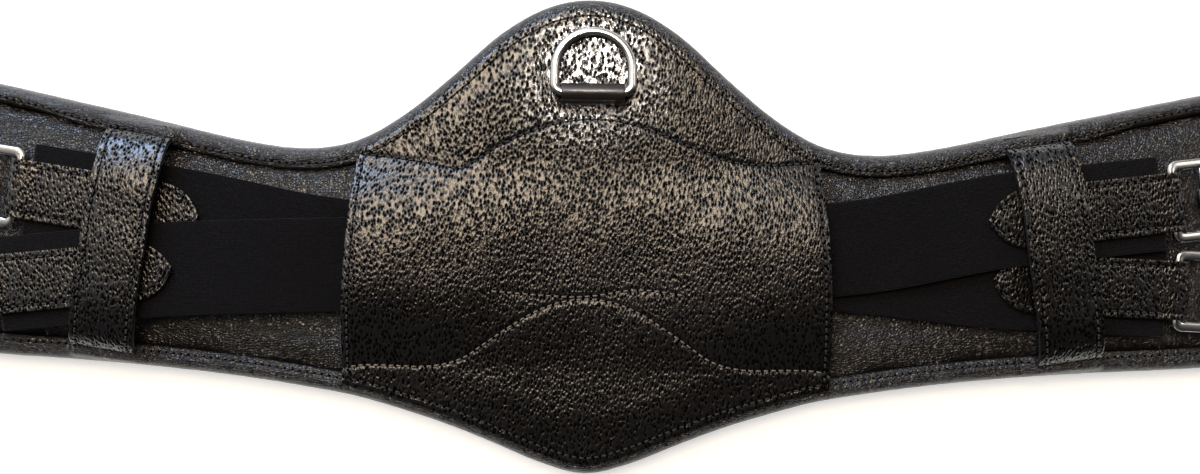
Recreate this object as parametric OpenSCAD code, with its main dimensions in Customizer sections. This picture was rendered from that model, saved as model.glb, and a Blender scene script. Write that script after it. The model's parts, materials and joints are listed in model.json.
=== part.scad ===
// Anatomical saddle girth, lying on its lining: a padded leather body with a belly panel,
// two crossing elastic straps held by keepers, four roller buckles and a ring.
// Frame: +X along the girth, +Y to the horse's front, +Z out of the leather side.
// The origin is under the middle of the body, on the face of the lining. Millimetres.

/* [Body] */
// Length of the padded body from end to end
body_length = 650; // [630:5:690]
// Thickness of the foam
foam_t = 10; // [8:0.5:14]
// Thickness of the lining and of the outer leather
soft_leather_t = 1.5; // [1.2:0.1:1.8]
// Width of the edge that the lining turns over on to the outer leather
turned_edge = 9; // [8:0.5:10]

/* [Belly panel] */
// Thickness of the panel's grained leather
panel_t = 2.2; // [1.8:0.1:2.6]
// Margin between the panel's edge and the body's edge
panel_margin = 5; // [4:0.5:6]
// Height of the strap tunnel inside the panel
tunnel_rise = 10; // [9.5:0.5:13]

/* [Straps] */
// Width of the elastic
elastic_w = 40; // [36:1:40]
// Thickness of the elastic
elastic_t = 1.6; // [1.2:0.1:1.6]
// Width of the leather ends that hold the buckles
billet_w = 25; // [22:0.5:25]
// Thickness of one leaf of a leather end
billet_t = 2; // [1.6:0.1:2]
// Length of a leather end, from its point to the buckle bar
billet_l = 79; // [76:1:84]

/* [Keepers] */
// Width of a keeper across the wing
keeper_w = 27; // [24:1:30]
// Thickness of the keeper's grained leather
keeper_t = 1.6; // [1.4:0.1:1.8]
// Thickness of the keeper's own lining
keeper_lining_t = 1; // [0.8:0.1:1.2]
// Height of the inside of a keeper above the outer leather
keeper_rise = 13; // [12.5:0.5:16]

/* [Buckles] */
// Inside width of a buckle
buckle_inner_w = 26; // [26:0.5:28]
// Width of a buckle's side leg
buckle_leg_w = 4.5; // [4:0.5:5]
// Thickness of a buckle's side leg
buckle_leg_t = 3.6; // [3:0.2:3.6]
// Distance from the strap bar to the tongue bar
tongue_bar_x = 13.5; // [13:0.5:15]
// Distance from the strap bar to the roller bar
roller_bar_x = 37.5; // [36:0.5:38]

/* [Ring] */
// Diameter of the ring's wire
ring_wire_d = 4; // [3.6:0.2:4]
// Inside width of the ring
ring_inner_w = 29; // [28:0.5:30]
// Distance from the ring's straight bar to the middle of its top
ring_h = 26; // [25:1:30]
// Thickness of the tab that holds the ring
ring_tab_t = 1.6; // [1.2:0.1:1.8]

/* [Hidden] */

black_leather = "#26221f";
brown_black_leather = "#332c26";
foam_grey = "#6b6d70";
elastic_black = "#1d1b1b";
steel = "#c9c7c2";

$fn = 64;
eps = 0.01;
gap = 0.3;           // between parts that move past each other
running = 0.1;       // round a bar in its bore
fit = 0.1;           // each side of the elastic in a leather end

foam_z = soft_leather_t;
outer_z = foam_z + foam_t;
face_z = outer_z + soft_leather_t;          // top of the outer leather
edge_z = face_z + soft_leather_t;           // top of the turned edge
panel_top = edge_z + panel_t;

// Right half of the body's outline: bell, waist, wing, wing end, lower edge, tip.
// The wing's points move with the body's length.
wing_start = 126;
wing_scale = (body_length / 2 - wing_start) / (325 - wing_start);
function wing(x) = x <= wing_start ? x : wing_start + (x - wing_start) * wing_scale;
outline_knots = [
    [0, 103], [20, 99], [40, 87], [60, 69], [80, 52.5], [100, 41], [122, 37],
    [wing(150), 40], [wing(190), 49], [wing(225), 56.5], [wing(260), 64], [wing(290), 69.5],
    [wing(310), 67.5], [wing(321), 56], [wing(325), 38], [wing(325), 2], [wing(323), -24],
    [wing(315), -41], [wing(298), -50], [wing(260), -54], [wing(225), -56], [wing(190), -58.5],
    [wing(155), -62], [126, -66], [100, -70.5], [80, -76], [60, -82.3], [40, -90], [20, -98.2], [0, -103]];
outline_steps = 3;

panel_top_half_w = 99;      // at the panel's upper corners
panel_low_half_w = 105;     // at its lower corners
panel_corner_y = 33;
tunnel_top_y = 31;
tunnel_low_y = -56;

bar_r = 2;                  // strap bar
thin_bar_r = 1.75;          // tongue bar and roller bar
roller_r = 3.2;
hub_r = 3.2;
fold_r = bar_r + running;

// The four strap ends: side, buckle bar's x and y, turn of the strap's axis, height of the bar
under_z = face_z + billet_t + fold_r + gap;
over_z = under_z + elastic_t + fit + billet_t + gap;
UPPER_LEFT  = [-1, -244, 17.5, 8.5, under_z];
LOWER_LEFT  = [-1, -254, -24, -6, over_z];
UPPER_RIGHT = [1, 248, 18, 7, over_z];
LOWER_RIGHT = [1, 252, -19.5, -2, under_z];
// A buckle leans from its strap bar until its roller just clears the turned edge
function lean(e) = asin((e[4] - roller_r - gap - edge_z) / roller_bar_x);
// Middle of each elastic across the body, between the two leather ends
over_knots = [[-102, -13], [0, -10], [105, -6]];
under_knots = [[-102, -7.5], [0, -8.5], [105, -9.5]];
elastic_end = 5.3;          // from the buckle bar
ramp_in = 70;               // where the elastics start to climb to their leather ends
ramp_out = 165;

keeper_mid = [198.5, -4.5];
keeper_turn = 8.7;
keeper_half = 45;           // half of its free span
keeper_foot = 6.5;          // length sewn under the turned edge
keeper_shape = 3;           // how square its arch is: 2 is an ellipse
tunnel_shape = 2.5;

ring_x = 1.5;
ring_y = 61.5;
ring_z = panel_top + ring_wire_d / 2 + running + ring_tab_t + 0.1;
ring_tilt = 3.5;
ring_bend_r = 3.5;

// ---- points and curves ----

function catmull(a, b, c, d, t) =
    0.5 * (2 * b + (c - a) * t + (2 * a - 5 * b + 4 * c - d) * t * t + (3 * b - a - 3 * c + d) * t * t * t);

function smooth_loop(loop, steps) = let (n = len(loop))
    [for (i = [0 : n - 1]) for (s = [0 : steps - 1])
        catmull(loop[(i + n - 1) % n], loop[i], loop[(i + 1) % n], loop[(i + 2) % n], s / steps)];

function smooth_line(points, steps) = let (n = len(points))
    concat([for (i = [1 : n - 3]) for (s = [0 : steps - 1])
        catmull(points[i - 1], points[i], points[i + 1], points[i + 2], s / steps)], [points[n - 2]]);

function unit2(v) = v / norm(v);
function left_of(v) = [-v.y, v.x];

// A loop moved inwards by d; the loop runs clockwise, so the inside is on its right
function inset(loop, d) = let (n = len(loop))
    [for (i = [0 : n - 1]) loop[i] - d * left_of(unit2(loop[(i + 1) % n] - loop[(i + n - 1) % n]))];

// A line moved to its left by d
function beside(line, d) = let (n = len(line))
    [for (i = [0 : n - 1]) line[i] + d * left_of(unit2(line[min(i + 1, n - 1)] - line[max(i - 1, 0)]))];

function reversed(line) = [for (i = [len(line) - 1 : -1 : 0]) line[i]];

// The band between a line and the same line moved by d
function band(line, from, to) = concat(beside(line, from), reversed(beside(line, to)));

function mirrored_half(knots) = [for (i = [len(knots) - 2 : -1 : 1]) [-knots[i].x, knots[i].y]];
outline = smooth_loop(concat(outline_knots, mirrored_half(outline_knots)), outline_steps);

// An arch on feet: height over a half span, squarer than an ellipse as shape grows
function arch(s, half, rise, shape) = rise * pow(max(0, 1 - pow(abs(s) / half, shape)), 1 / shape);
function arch_line(half, rise, shape, foot, base) = concat(
    [[-half - foot, base]],
    [for (a = [-90 : 7.5 : 90]) let (s = half * sin(a)) [s, base + arch(s, half, rise, shape)]],
    [[half + foot, base]]);

function ramp(x) = let (t = min(1, max(0, (abs(x) - ramp_in) / (ramp_out - ramp_in)))) t * t * (3 - 2 * t);

// Where a point at distance d inwards from a strap end's bar lies
function end_point(e, d) = [e[1] - e[0] * d * cos(e[3]), e[2] - d * sin(e[3])];

// ---- helpers that draw ----

module slab(loop, z, h) {
    translate([0, 0, z]) linear_extrude(height = h) polygon(loop);
}

// Puts its children on a strap end: local +X points out of the girth, the bar lies along Y
module at_end(e) {
    translate([e[1], e[2], e[4]])
        rotate([0, 0, e[0] > 0 ? e[3] : 180 - e[3]])
            children();
}

module at_buckle(e) {
    at_end(e) rotate([0, lean(e), 0]) children();
}

module bar(r, half) {
    rotate([90, 0, 0]) cylinder(r = r, h = 2 * half, center = true);
}

// ---- padded body ----

module keeper_place(side) {
    translate([side * wing(keeper_mid.x), keeper_mid.y, 0]) rotate([0, 0, side * keeper_turn]) children();
}

module keeper_block(side, w, from, to, z, h) {
    keeper_place(side)
        for (end = [-1, 1])
            translate([-w / 2, end > 0 ? from : -to, z]) cube([w, to - from, h]);
}

keeper_total_t = keeper_t + keeper_lining_t;

module lining() {
    color(brown_black_leather)
    difference() {
        union() {
            slab(outline, 0, edge_z);
            intersection() {
                slab(outline, face_z, keeper_total_t + soft_leather_t + 1);
                union() {
                    for (side = [-1, 1])
                        keeper_block(side, keeper_w + 3, keeper_half, keeper_half + 20,
                                     face_z, keeper_total_t + soft_leather_t);
                }
            }
        }
        slab(inset(outline, soft_leather_t), soft_leather_t, face_z - soft_leather_t);
        slab(inset(outline, turned_edge), face_z - eps, keeper_total_t + soft_leather_t + 1);
        // the pockets for the keepers' feet, open upwards where the keepers rise out of them
        for (side = [-1, 1]) {
            keeper_block(side, keeper_w, keeper_half - 2, keeper_half + keeper_foot,
                         face_z - eps, keeper_total_t + eps);
            keeper_block(side, keeper_w, keeper_half - 2, keeper_half + keeper_total_t + gap,
                         face_z - eps, keeper_total_t + soft_leather_t + 2);
        }
    }
}

module foam_pad() {
    color(foam_grey) slab(inset(outline, soft_leather_t), foam_z, foam_t);
}

module outer_leather() {
    color(brown_black_leather) slab(inset(outline, soft_leather_t), outer_z, soft_leather_t);
}

// ---- belly panel ----

panel_plan = [
    [-panel_top_half_w, 120], [panel_top_half_w, 120], [panel_top_half_w, panel_corner_y],
    [panel_low_half_w, tunnel_low_y], [panel_low_half_w, -120],
    [-panel_low_half_w, -120], [-panel_low_half_w, tunnel_low_y], [-panel_top_half_w, panel_corner_y]];
tunnel_mid_y = (tunnel_top_y + tunnel_low_y) / 2;
tunnel_half = (tunnel_top_y - tunnel_low_y) / 2;
ring_slit = [ring_inner_w - 2.2, ring_tab_t * 2 + 0.8];

module filler_area(y_from, y_to) {
    intersection() {
        slab(inset(outline, turned_edge + 0.2), face_z, soft_leather_t);
        translate([-panel_top_half_w, y_from, face_z - 1]) cube([2 * panel_top_half_w, y_to - y_from, 4]);
    }
}

module upper_filler() {
    color(foam_grey)
    difference() {
        filler_area(tunnel_top_y + 9, 120);
        ring_tail(0.2);
    }
}

module lower_filler() {
    color(foam_grey) filler_area(-120, tunnel_low_y - 4);
}

module centre_panel() {
    color(black_leather)
    difference() {
        intersection() {
            slab(inset(outline, panel_margin), edge_z - 1, 40);
            slab(panel_plan, edge_z - 1, 40);
            // the profile across the girth, drawn along Y and up Z
            translate([-120, tunnel_mid_y, 0]) rotate([90, 0, 90]) linear_extrude(height = 240)
                polygon(band(arch_line(tunnel_half, tunnel_rise, tunnel_shape, 80, edge_z), 0, panel_t));
        }
        translate([ring_x - ring_slit.x / 2, ring_y - 0.2 - ring_slit.y, edge_z - 1])
            cube([ring_slit.x, ring_slit.y, 8]);
    }
}

// ---- ring and its tab ----

tab_half_w = ring_inner_w / 2 - 1.6;

module ring_tail(grow) {
    translate([ring_x - tab_half_w - grow, ring_y - 15 - grow, face_z])
        cube([2 * (tab_half_w + grow), 24 + 2 * grow, soft_leather_t]);
}

module ring_tab() {
    bore_r = ring_wire_d / 2 + running;
    outer_r = bore_r + ring_tab_t;
    color(black_leather)
    union() {
        difference() {
            union() {
                translate([ring_x, ring_y, ring_z]) rotate([0, 90, 0])
                    cylinder(r = outer_r, h = 2 * tab_half_w, center = true);
                // the two leaves that go down through the slit
                translate([ring_x - tab_half_w, ring_y - 0.4 - 2 * ring_tab_t, edge_z - 0.5])
                    cube([2 * tab_half_w, 2 * ring_tab_t, ring_z - edge_z + 0.5]);
            }
            translate([ring_x, ring_y, ring_z]) rotate([0, 90, 0])
                cylinder(r = bore_r, h = 2 * tab_half_w + 2, center = true);
        }
        ring_tail(0);
    }
}

// The ring in its own frame: straight bar along X at the origin, bow towards +Y
module ring_shape() {
    wire_r = ring_wire_d / 2;
    half = ring_inner_w / 2 + wire_r;
    bow_y = ring_h - half;
    union() {
        rotate([0, 90, 0]) cylinder(r = wire_r, h = 2 * (half - ring_bend_r), center = true);
        for (side = [-1, 1]) {
            translate([side * (half - ring_bend_r), ring_bend_r, 0])
                rotate([0, 0, side > 0 ? -90 : 180])
                    rotate_extrude(angle = 90) translate([ring_bend_r, 0]) circle(r = wire_r);
            translate([side * half, ring_bend_r, 0]) rotate([-90, 0, 0])
                cylinder(r = wire_r, h = bow_y - ring_bend_r);
        }
        translate([0, bow_y, 0]) rotate_extrude(angle = 180) translate([half, 0]) circle(r = wire_r);
    }
}

module ring() {
    color(steel) translate([ring_x, ring_y, ring_z]) rotate([-ring_tilt, 0, 0]) ring_shape();
}

// ---- keepers ----

module keeper_strip(side, from, to) {
    keeper_place(side)
        translate([-keeper_w / 2, 0, 0]) rotate([90, 0, 90]) linear_extrude(height = keeper_w)
            polygon(band(arch_line(keeper_half, keeper_rise, keeper_shape, keeper_foot, face_z), from, to));
}

module keeper(side) { color(black_leather) keeper_strip(side, keeper_lining_t, keeper_total_t); }
module keeper_lining(side) { color(brown_black_leather) keeper_strip(side, 0, keeper_lining_t); }

// ---- elastics ----

// A strap's middle line in plan, straight inside its two leather ends
function strap_line(a, knots, b) = concat(
    [end_point(a, elastic_end)],
    smooth_line(concat([end_point(a, elastic_end)], [end_point(a, billet_l)], knots,
                       [end_point(b, billet_l)], [end_point(b, elastic_end)]), 4),
    [end_point(b, elastic_end)]);

module elastic(a, knots, b, mid_z, end_z) {
    heights = [for (x = [-270 : 10 : 270]) [x, mid_z + (end_z - mid_z) * ramp(x)]];
    color(elastic_black)
    intersection() {
        linear_extrude(height = 60) polygon(band(strap_line(a, knots, b), -elastic_w / 2, elastic_w / 2));
        // the profile along the girth, drawn along X and up Z
        translate([0, 80, 0]) rotate([90, 0, 0]) linear_extrude(height = 160)
            polygon(concat([for (p = heights) p - [0, elastic_t / 2]],
                           reversed([for (p = heights) p + [0, elastic_t / 2]])));
    }
}

under_mid_z = face_z + gap + elastic_t / 2;
over_mid_z = under_mid_z + elastic_t + gap;

module elastic_over() { elastic(LOWER_LEFT, over_knots, UPPER_RIGHT, over_mid_z, over_z); }
module elastic_under() { elastic(UPPER_LEFT, under_knots, LOWER_RIGHT, under_mid_z, under_z); }

// ---- strap ends ----

billet_gap = elastic_t + 2 * fit;
point_l = 17;               // length of the pointed part
fold_l = 8;                 // where the leaves meet the elastic

// One side view of the folded leather at half thickness h over the elastic and radius r round the bar
module fold_side(r, h, back) {
    union() {
        circle(r = r);
        polygon([[0, r], [-fold_l, h], [-back, h], [-back, -h], [-fold_l, -h], [0, -r]]);
    }
}

module billet_plan() {
    half = billet_w / 2;
    point_r = (point_l * point_l + half * half) / (2 * half);
    union() {
        translate([-billet_l + point_l, -half]) square([billet_l + 10, billet_w]);
        intersection() {
            translate([-billet_l + point_l, half - point_r]) circle(r = point_r);
            translate([-billet_l + point_l, point_r - half]) circle(r = point_r);
            translate([-billet_l - 1, -half]) square([point_l + 1.5, billet_w]);
        }
    }
}

module billet(e) {
    color(black_leather)
    at_end(e) intersection() {
        rotate([90, 0, 0]) translate([0, 0, -billet_w])
            linear_extrude(height = 2 * billet_w) difference() {
                fold_side(fold_r + billet_t, billet_gap / 2 + billet_t, billet_l + 1);
                fold_side(fold_r, billet_gap / 2, billet_l + 2);
            }
        translate([0, 0, -10]) linear_extrude(height = 20) billet_plan();
    }
}

// ---- buckles ----

leg_y = buckle_inner_w / 2;
leg_end = 2.3;              // how far a leg runs past the outer bars

module frame(e) {
    color(steel)
    at_buckle(e) union() {
        for (side = [-1, 1])
            translate([-leg_end, side > 0 ? leg_y : -leg_y - buckle_leg_w, -buckle_leg_t / 2])
                cube([roller_bar_x + 2 * leg_end, buckle_leg_w, buckle_leg_t]);
        bar(bar_r - 0.2, leg_y + buckle_leg_w / 2);
        bar(bar_r, leg_y + eps);
        translate([tongue_bar_x, 0, 0]) bar(thin_bar_r, leg_y + buckle_leg_w / 2);
        translate([roller_bar_x, 0, 0]) bar(thin_bar_r, leg_y + buckle_leg_w / 2);
    }
}

module tongue(e) {
    hub_w = 9;
    shank_w = 4.4;
    rest_z = roller_r + 0.12;
    tip_x = roller_bar_x - tongue_bar_x + 3.5;
    color(steel)
    at_buckle(e) translate([tongue_bar_x, 0, 0]) difference() {
        union() {
            bar(hub_r, hub_w / 2);
            rotate([90, 0, 0]) translate([0, 0, -shank_w / 2]) linear_extrude(height = shank_w)
                polygon([[0, 0.4], [2, 0.4], [tip_x - 8, rest_z], [tip_x, rest_z], [tip_x + 0.4, rest_z + 1],
                         [tip_x - 0.6, rest_z + 2.2], [tip_x - 6, rest_z + 2.8], [0, 3]]);
        }
        bar(thin_bar_r + running, hub_w);
    }
}

module roller(e) {
    color(steel)
    at_buckle(e) translate([roller_bar_x, 0, 0]) difference() {
        bar(roller_r, leg_y - gap);
        bar(thin_bar_r + running, leg_y);
    }
}

lining();
foam_pad();
outer_leather();
upper_filler();
lower_filler();
centre_panel();
keeper(-1);  // keeper_left
keeper(1);  // keeper_right
keeper_lining(-1);  // keeper_left_lining
keeper_lining(1);  // keeper_right_lining
elastic_over();
elastic_under();
ring_tab();
ring();
billet(UPPER_LEFT);  // billet_upper_left
billet(LOWER_LEFT);  // billet_lower_left
billet(UPPER_RIGHT);  // billet_upper_right
billet(LOWER_RIGHT);  // billet_lower_right
frame(UPPER_LEFT);  // frame_upper_left
frame(LOWER_LEFT);  // frame_lower_left
frame(UPPER_RIGHT);  // frame_upper_right
frame(LOWER_RIGHT);  // frame_lower_right
tongue(UPPER_LEFT);  // tongue_upper_left
tongue(LOWER_LEFT);  // tongue_lower_left
tongue(UPPER_RIGHT);  // tongue_upper_right
tongue(LOWER_RIGHT);  // tongue_lower_right
roller(UPPER_LEFT);  // roller_upper_left
roller(LOWER_LEFT);  // roller_lower_left
roller(UPPER_RIGHT);  // roller_upper_right
roller(LOWER_RIGHT);  // roller_lower_right
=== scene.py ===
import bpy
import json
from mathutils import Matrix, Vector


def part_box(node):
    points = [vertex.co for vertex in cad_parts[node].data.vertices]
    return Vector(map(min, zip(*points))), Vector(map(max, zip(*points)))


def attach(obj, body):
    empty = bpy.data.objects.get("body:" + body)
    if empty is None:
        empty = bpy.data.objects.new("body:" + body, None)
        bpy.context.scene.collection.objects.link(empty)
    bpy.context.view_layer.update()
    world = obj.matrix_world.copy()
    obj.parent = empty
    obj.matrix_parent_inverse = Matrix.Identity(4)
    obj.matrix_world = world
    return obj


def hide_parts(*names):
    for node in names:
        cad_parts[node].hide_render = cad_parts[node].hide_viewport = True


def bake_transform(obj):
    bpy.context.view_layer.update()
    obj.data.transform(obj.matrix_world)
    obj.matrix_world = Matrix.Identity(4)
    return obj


bl_info = {
    "name": "Saddle Girth",
    "version": (1, 0, 0),
    "blender": (4, 5, 0),
    "location": "View3D > Sidebar > Girth",
    "description": "Dresses the packed saddle girth in leather, webbing and polished steel",
    "category": "Add Mesh",
}

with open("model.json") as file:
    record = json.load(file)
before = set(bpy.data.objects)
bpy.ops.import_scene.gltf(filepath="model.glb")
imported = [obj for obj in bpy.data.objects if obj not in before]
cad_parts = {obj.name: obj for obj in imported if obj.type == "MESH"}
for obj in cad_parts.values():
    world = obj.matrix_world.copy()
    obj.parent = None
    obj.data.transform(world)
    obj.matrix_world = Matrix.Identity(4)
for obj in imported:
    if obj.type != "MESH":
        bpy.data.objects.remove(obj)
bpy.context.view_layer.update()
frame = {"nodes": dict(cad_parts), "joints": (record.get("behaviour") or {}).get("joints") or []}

import json
import bmesh
import bpy
import numpy as np
from mathutils import Quaternion, Vector

MM = 0.001
JOINTS = {joint["name"]: joint for joint in frame["joints"]}
STRAP_ENDS = ("upper_left", "lower_left", "upper_right", "lower_right")
ROOT = "girth"


def box_mm(node):
    """Lowest and highest corner of a CAD node as numpy arrays in millimetres."""
    low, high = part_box(node)
    return np.array(low) / MM, np.array(high) / MM


FACE_Z = box_mm("outer_leather")[1][2]
SKIN = FACE_Z - box_mm("outer_leather")[0][2]
EDGE_Z = FACE_Z + SKIN
PANEL_LOW, PANEL_HIGH = box_mm("centre_panel")


# ---------------------------------------------------------------- sizes and colours

class GirthSizes(bpy.types.PropertyGroup):
    """Sizes that a maker might change, in metres"""

    edge_width: bpy.props.FloatProperty(
        name="Turned edge", description="Width of the edge turned over on to the body",
        default=9.6 * MM, unit="LENGTH")
    stitch_pitch: bpy.props.FloatProperty(
        name="Stitch pitch", description="Distance from one stitch to the next",
        default=3.2 * MM, unit="LENGTH")
    pebble: bpy.props.FloatProperty(
        name="Pebble", description="Distance between the pits of the printed grain",
        default=1.75 * MM, unit="LENGTH")
    soft_grain: bpy.props.FloatProperty(
        name="Soft grain", description="Width of one cell of the soft leather's grain",
        default=1.1 * MM, unit="LENGTH")
    cord_pitch: bpy.props.FloatProperty(
        name="Rubber cord pitch", description="Distance between the cords of the elastic",
        default=0.95 * MM, unit="LENGTH")
    pad_pressure: bpy.props.FloatProperty(
        name="Pad pressure", description="Pressure that fills the padded body when it is simulated",
        default=4.0, min=0.5, max=10)


class GirthColours(bpy.types.PropertyGroup):
    """Colours as sRGB hex values"""

    grained: bpy.props.StringProperty(
        name="Grained leather", description="Belly panel, keepers and strap ends", default="#110E0C")
    soft: bpy.props.StringProperty(
        name="Soft leather", description="Padded body and turned edge", default="#2A2420")
    edge_paint: bpy.props.StringProperty(
        name="Edge paint", description="Painted edges of the cut leather", default="#0E0C0B")
    elastic: bpy.props.StringProperty(
        name="Elastic", description="Cotton-covered elastic webbing", default="#0D0B0C")
    steel: bpy.props.StringProperty(
        name="Steel", description="Polished stainless fittings", default="#D6D2CC")
    dark_thread: bpy.props.StringProperty(
        name="Dark thread", description="Stitching of the edge and the upper panel", default="#1E1916")
    worn_thread: bpy.props.StringProperty(
        name="Worn thread", description="Stitching of the lower panel", default="#6B6055")


def sizes():
    return bpy.context.scene.girth_sizes


def colours():
    return bpy.context.scene.girth_colours


def linear(hex_colour):
    """An sRGB hex value as linear RGBA."""
    code = np.array([int(hex_colour[i:i + 2], 16) for i in (1, 3, 5)]) / 255
    low = code <= 0.04045
    value = np.where(low, code / 12.92, ((code + 0.055) / 1.055) ** 2.4)
    return (*value.tolist(), 1.0)


# ---------------------------------------------------------------- curves

def unit(vectors):
    """Each row divided by its length."""
    return vectors / np.maximum(np.linalg.norm(vectors, axis=-1, keepdims=True), 1e-12)


def smoothstep(value, start=0.0, end=1.0):
    """0 before start, 1 after end and 3t^2 - 2t^3 between them."""
    t = np.clip((np.asarray(value, float) - start) / (end - start), 0, 1)
    return t * t * (3 - 2 * t)


def bell(value, width):
    """A Gaussian bump of height 1 at 0."""
    return np.exp(-(np.asarray(value, float) / width) ** 2)


def cut_corners(points, rounds, closed):
    """Chaikin's rule: each edge is replaced by the points at its first and third quarter."""
    for _ in range(rounds):
        following = np.roll(points, -1, axis=0) if closed else points[1:]
        current = points if closed else points[:-1]
        pair = np.stack([0.75 * current + 0.25 * following, 0.25 * current + 0.75 * following], axis=1)
        inner = pair.reshape(-1, points.shape[1])
        points = inner if closed else np.vstack([points[:1], inner, points[-1:]])
    return points


def arc_lengths(points, closed=False):
    """Distance along a polyline at each of its points, and once more at the end of a closed one."""
    loop = np.vstack([points, points[:1]]) if closed else points
    return np.concatenate([[0], np.cumsum(np.linalg.norm(np.diff(loop, axis=0), axis=1))])


def resample(points, count, closed=False):
    """The same polyline with count points at equal distances along it."""
    along = arc_lengths(points, closed)
    loop = np.vstack([points, points[:1]]) if closed else points
    wanted = np.linspace(0, along[-1], count + 1)[:-1] if closed else np.linspace(0, along[-1], count)
    return np.stack([np.interp(wanted, along, loop[:, k]) for k in range(points.shape[1])], axis=1)


def tangents(points, closed=False):
    """Unit direction of a polyline at each point, from its two neighbours."""
    if closed:
        return unit(np.roll(points, -1, axis=0) - np.roll(points, 1, axis=0))
    return unit(np.gradient(points, axis=0))


def ripple(x, y, waves, seed):
    """A sum of sine waves of the given lengths in mm, each with its own direction and phase."""
    draw = np.random.default_rng(seed)
    total = 0
    for length, turn in waves:
        angle = turn + draw.uniform(-0.35, 0.35)
        phase = draw.uniform(0, 2 * np.pi)
        total = total + np.sin(2 * np.pi * (x * np.cos(angle) + y * np.sin(angle)) / length + phase)
    return total / len(waves)


# ---------------------------------------------------------------- meshes

def make_object(name, points, faces, materials, body, uv=None, smooth=True):
    """Makes an object from points in mm and lists of corner indices, and lets it ride on a body."""
    mesh = bpy.data.meshes.new(name)
    mesh.from_pydata((np.asarray(points) * MM).tolist(), [], [list(face) for face in faces])
    if uv is not None:
        layer = mesh.uv_layers.new(name="UVMap")
        layer.data.foreach_set("uv", (np.asarray(uv) * MM).ravel())
    for material in materials:
        mesh.materials.append(material)
    mesh.polygons.foreach_set("use_smooth", [smooth] * len(mesh.polygons))
    mesh.update()
    made = bpy.data.objects.new(name, mesh)
    bpy.context.scene.collection.objects.link(made)
    if body:
        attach(made, body)
    return made


def grid_quads(rows, columns, wrap_rows=False, wrap_columns=False):
    """Corner indices of a grid's quads, row by row."""
    r = np.arange(rows if wrap_rows else rows - 1)
    c = np.arange(columns if wrap_columns else columns - 1)
    r, c = np.meshgrid(r, c, indexing="ij")
    r, c = r.ravel(), c.ravel()
    down, right = (r + 1) % rows, (c + 1) % columns
    return np.stack([r * columns + c, down * columns + c,
                     down * columns + right, r * columns + right], axis=1)


def grid_uv(u, v, wrap_rows=False, wrap_columns=False):
    """Each quad corner's (u, v) from one value of u per row line and one of v per column line."""
    rows, columns = len(u) - 1, len(v) - 1
    r, c = np.meshgrid(np.arange(rows), np.arange(columns), indexing="ij")
    r, c = r.ravel(), c.ravel()
    corner_u = np.stack([u[r], u[r + 1], u[r + 1], u[r]], axis=1)
    corner_v = np.stack([v[c], v[c], v[c + 1], v[c + 1]], axis=1)
    return np.stack([corner_u.ravel(), corner_v.ravel()], axis=1)


def sweep(path, sections, side, up, closed=False):
    """Points of a profile carried along a path: path + section x times side + section y times up."""
    return (path[:, None, :] + sections[..., 0:1] * side[:, None, :] + sections[..., 1:2] * up[:, None, :])


def swept_mesh(points, closed):
    """Points and faces of a swept closed profile, with flat caps where the path is open."""
    rows, columns = points.shape[:2]
    faces = grid_quads(rows, columns, wrap_rows=closed, wrap_columns=True).tolist()
    if not closed:
        first = np.arange(columns)
        faces.append(first.tolist())
        faces.append((first[::-1] + (rows - 1) * columns).tolist())
    return points.reshape(-1, 3), faces


def superellipse(count, half_x, half_y, power=2.0):
    """A closed profile with x = half_x cos^(2/p) and y = half_y sin^(2/p)."""
    angle = np.linspace(0, 2 * np.pi, count, endpoint=False)
    c, s = np.cos(angle), np.sin(angle)
    return np.stack([half_x * np.sign(c) * np.abs(c) ** (2 / power),
                     half_y * np.sign(s) * np.abs(s) ** (2 / power)], axis=1)


def outward(obj, merge_mm=0.0):
    """Merges doubles and turns a closed mesh's faces outwards."""
    work = bmesh.new()
    work.from_mesh(obj.data)
    if merge_mm:
        bmesh.ops.remove_doubles(work, verts=work.verts, dist=merge_mm * MM)
    bmesh.ops.recalc_face_normals(work, faces=work.faces)
    work.to_mesh(obj.data)
    work.free()


def add_thickness(obj, thickness, offset=0.0, rim_slot=0, bevel=0.35):
    """Solidify and a small bevel, so that a sheet of leather gets its cut edge."""
    wall = obj.modifiers.new("thickness", "SOLIDIFY")
    wall.thickness = thickness * MM
    wall.offset = offset
    wall.material_offset_rim = rim_slot
    wall.use_even_offset = True
    edge = obj.modifiers.new("edge", "BEVEL")
    edge.width = bevel * MM
    edge.segments = 2
    edge.limit_method = "ANGLE"
    edge.angle_limit = np.radians(50)


def apply_modifiers(obj):
    """Replaces the mesh by the evaluated one and removes the modifiers."""
    graph = bpy.context.evaluated_depsgraph_get()
    done = bpy.data.meshes.new_from_object(obj.evaluated_get(graph))
    obj.modifiers.clear()
    obj.data = done


def mesh_points(obj):
    """An object's vertices as an array in mm."""
    flat = np.empty(len(obj.data.vertices) * 3)
    obj.data.vertices.foreach_get("co", flat)
    return flat.reshape(-1, 3) / MM


def set_points(obj, points):
    obj.data.vertices.foreach_set("co", (points * MM).ravel())
    obj.data.update()


# ---------------------------------------------------------------- materials

def add_node(tree, kind, inputs=None, **settings):
    """Adds a node, sets its properties and fills or links its inputs."""
    made = tree.nodes.new(kind)
    for name, value in settings.items():
        setattr(made, name, value)
    for socket, value in (inputs or {}).items():
        if isinstance(value, bpy.types.NodeSocket):
            tree.links.new(value, made.inputs[socket])
        else:
            made.inputs[socket].default_value = value
    return made


def new_material(name):
    """An empty node material with its output node."""
    material = bpy.data.materials.new(name)
    material.use_nodes = True
    tree = material.node_tree
    tree.nodes.clear()
    output = add_node(tree, "ShaderNodeOutputMaterial")
    return material, tree, output


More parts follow.
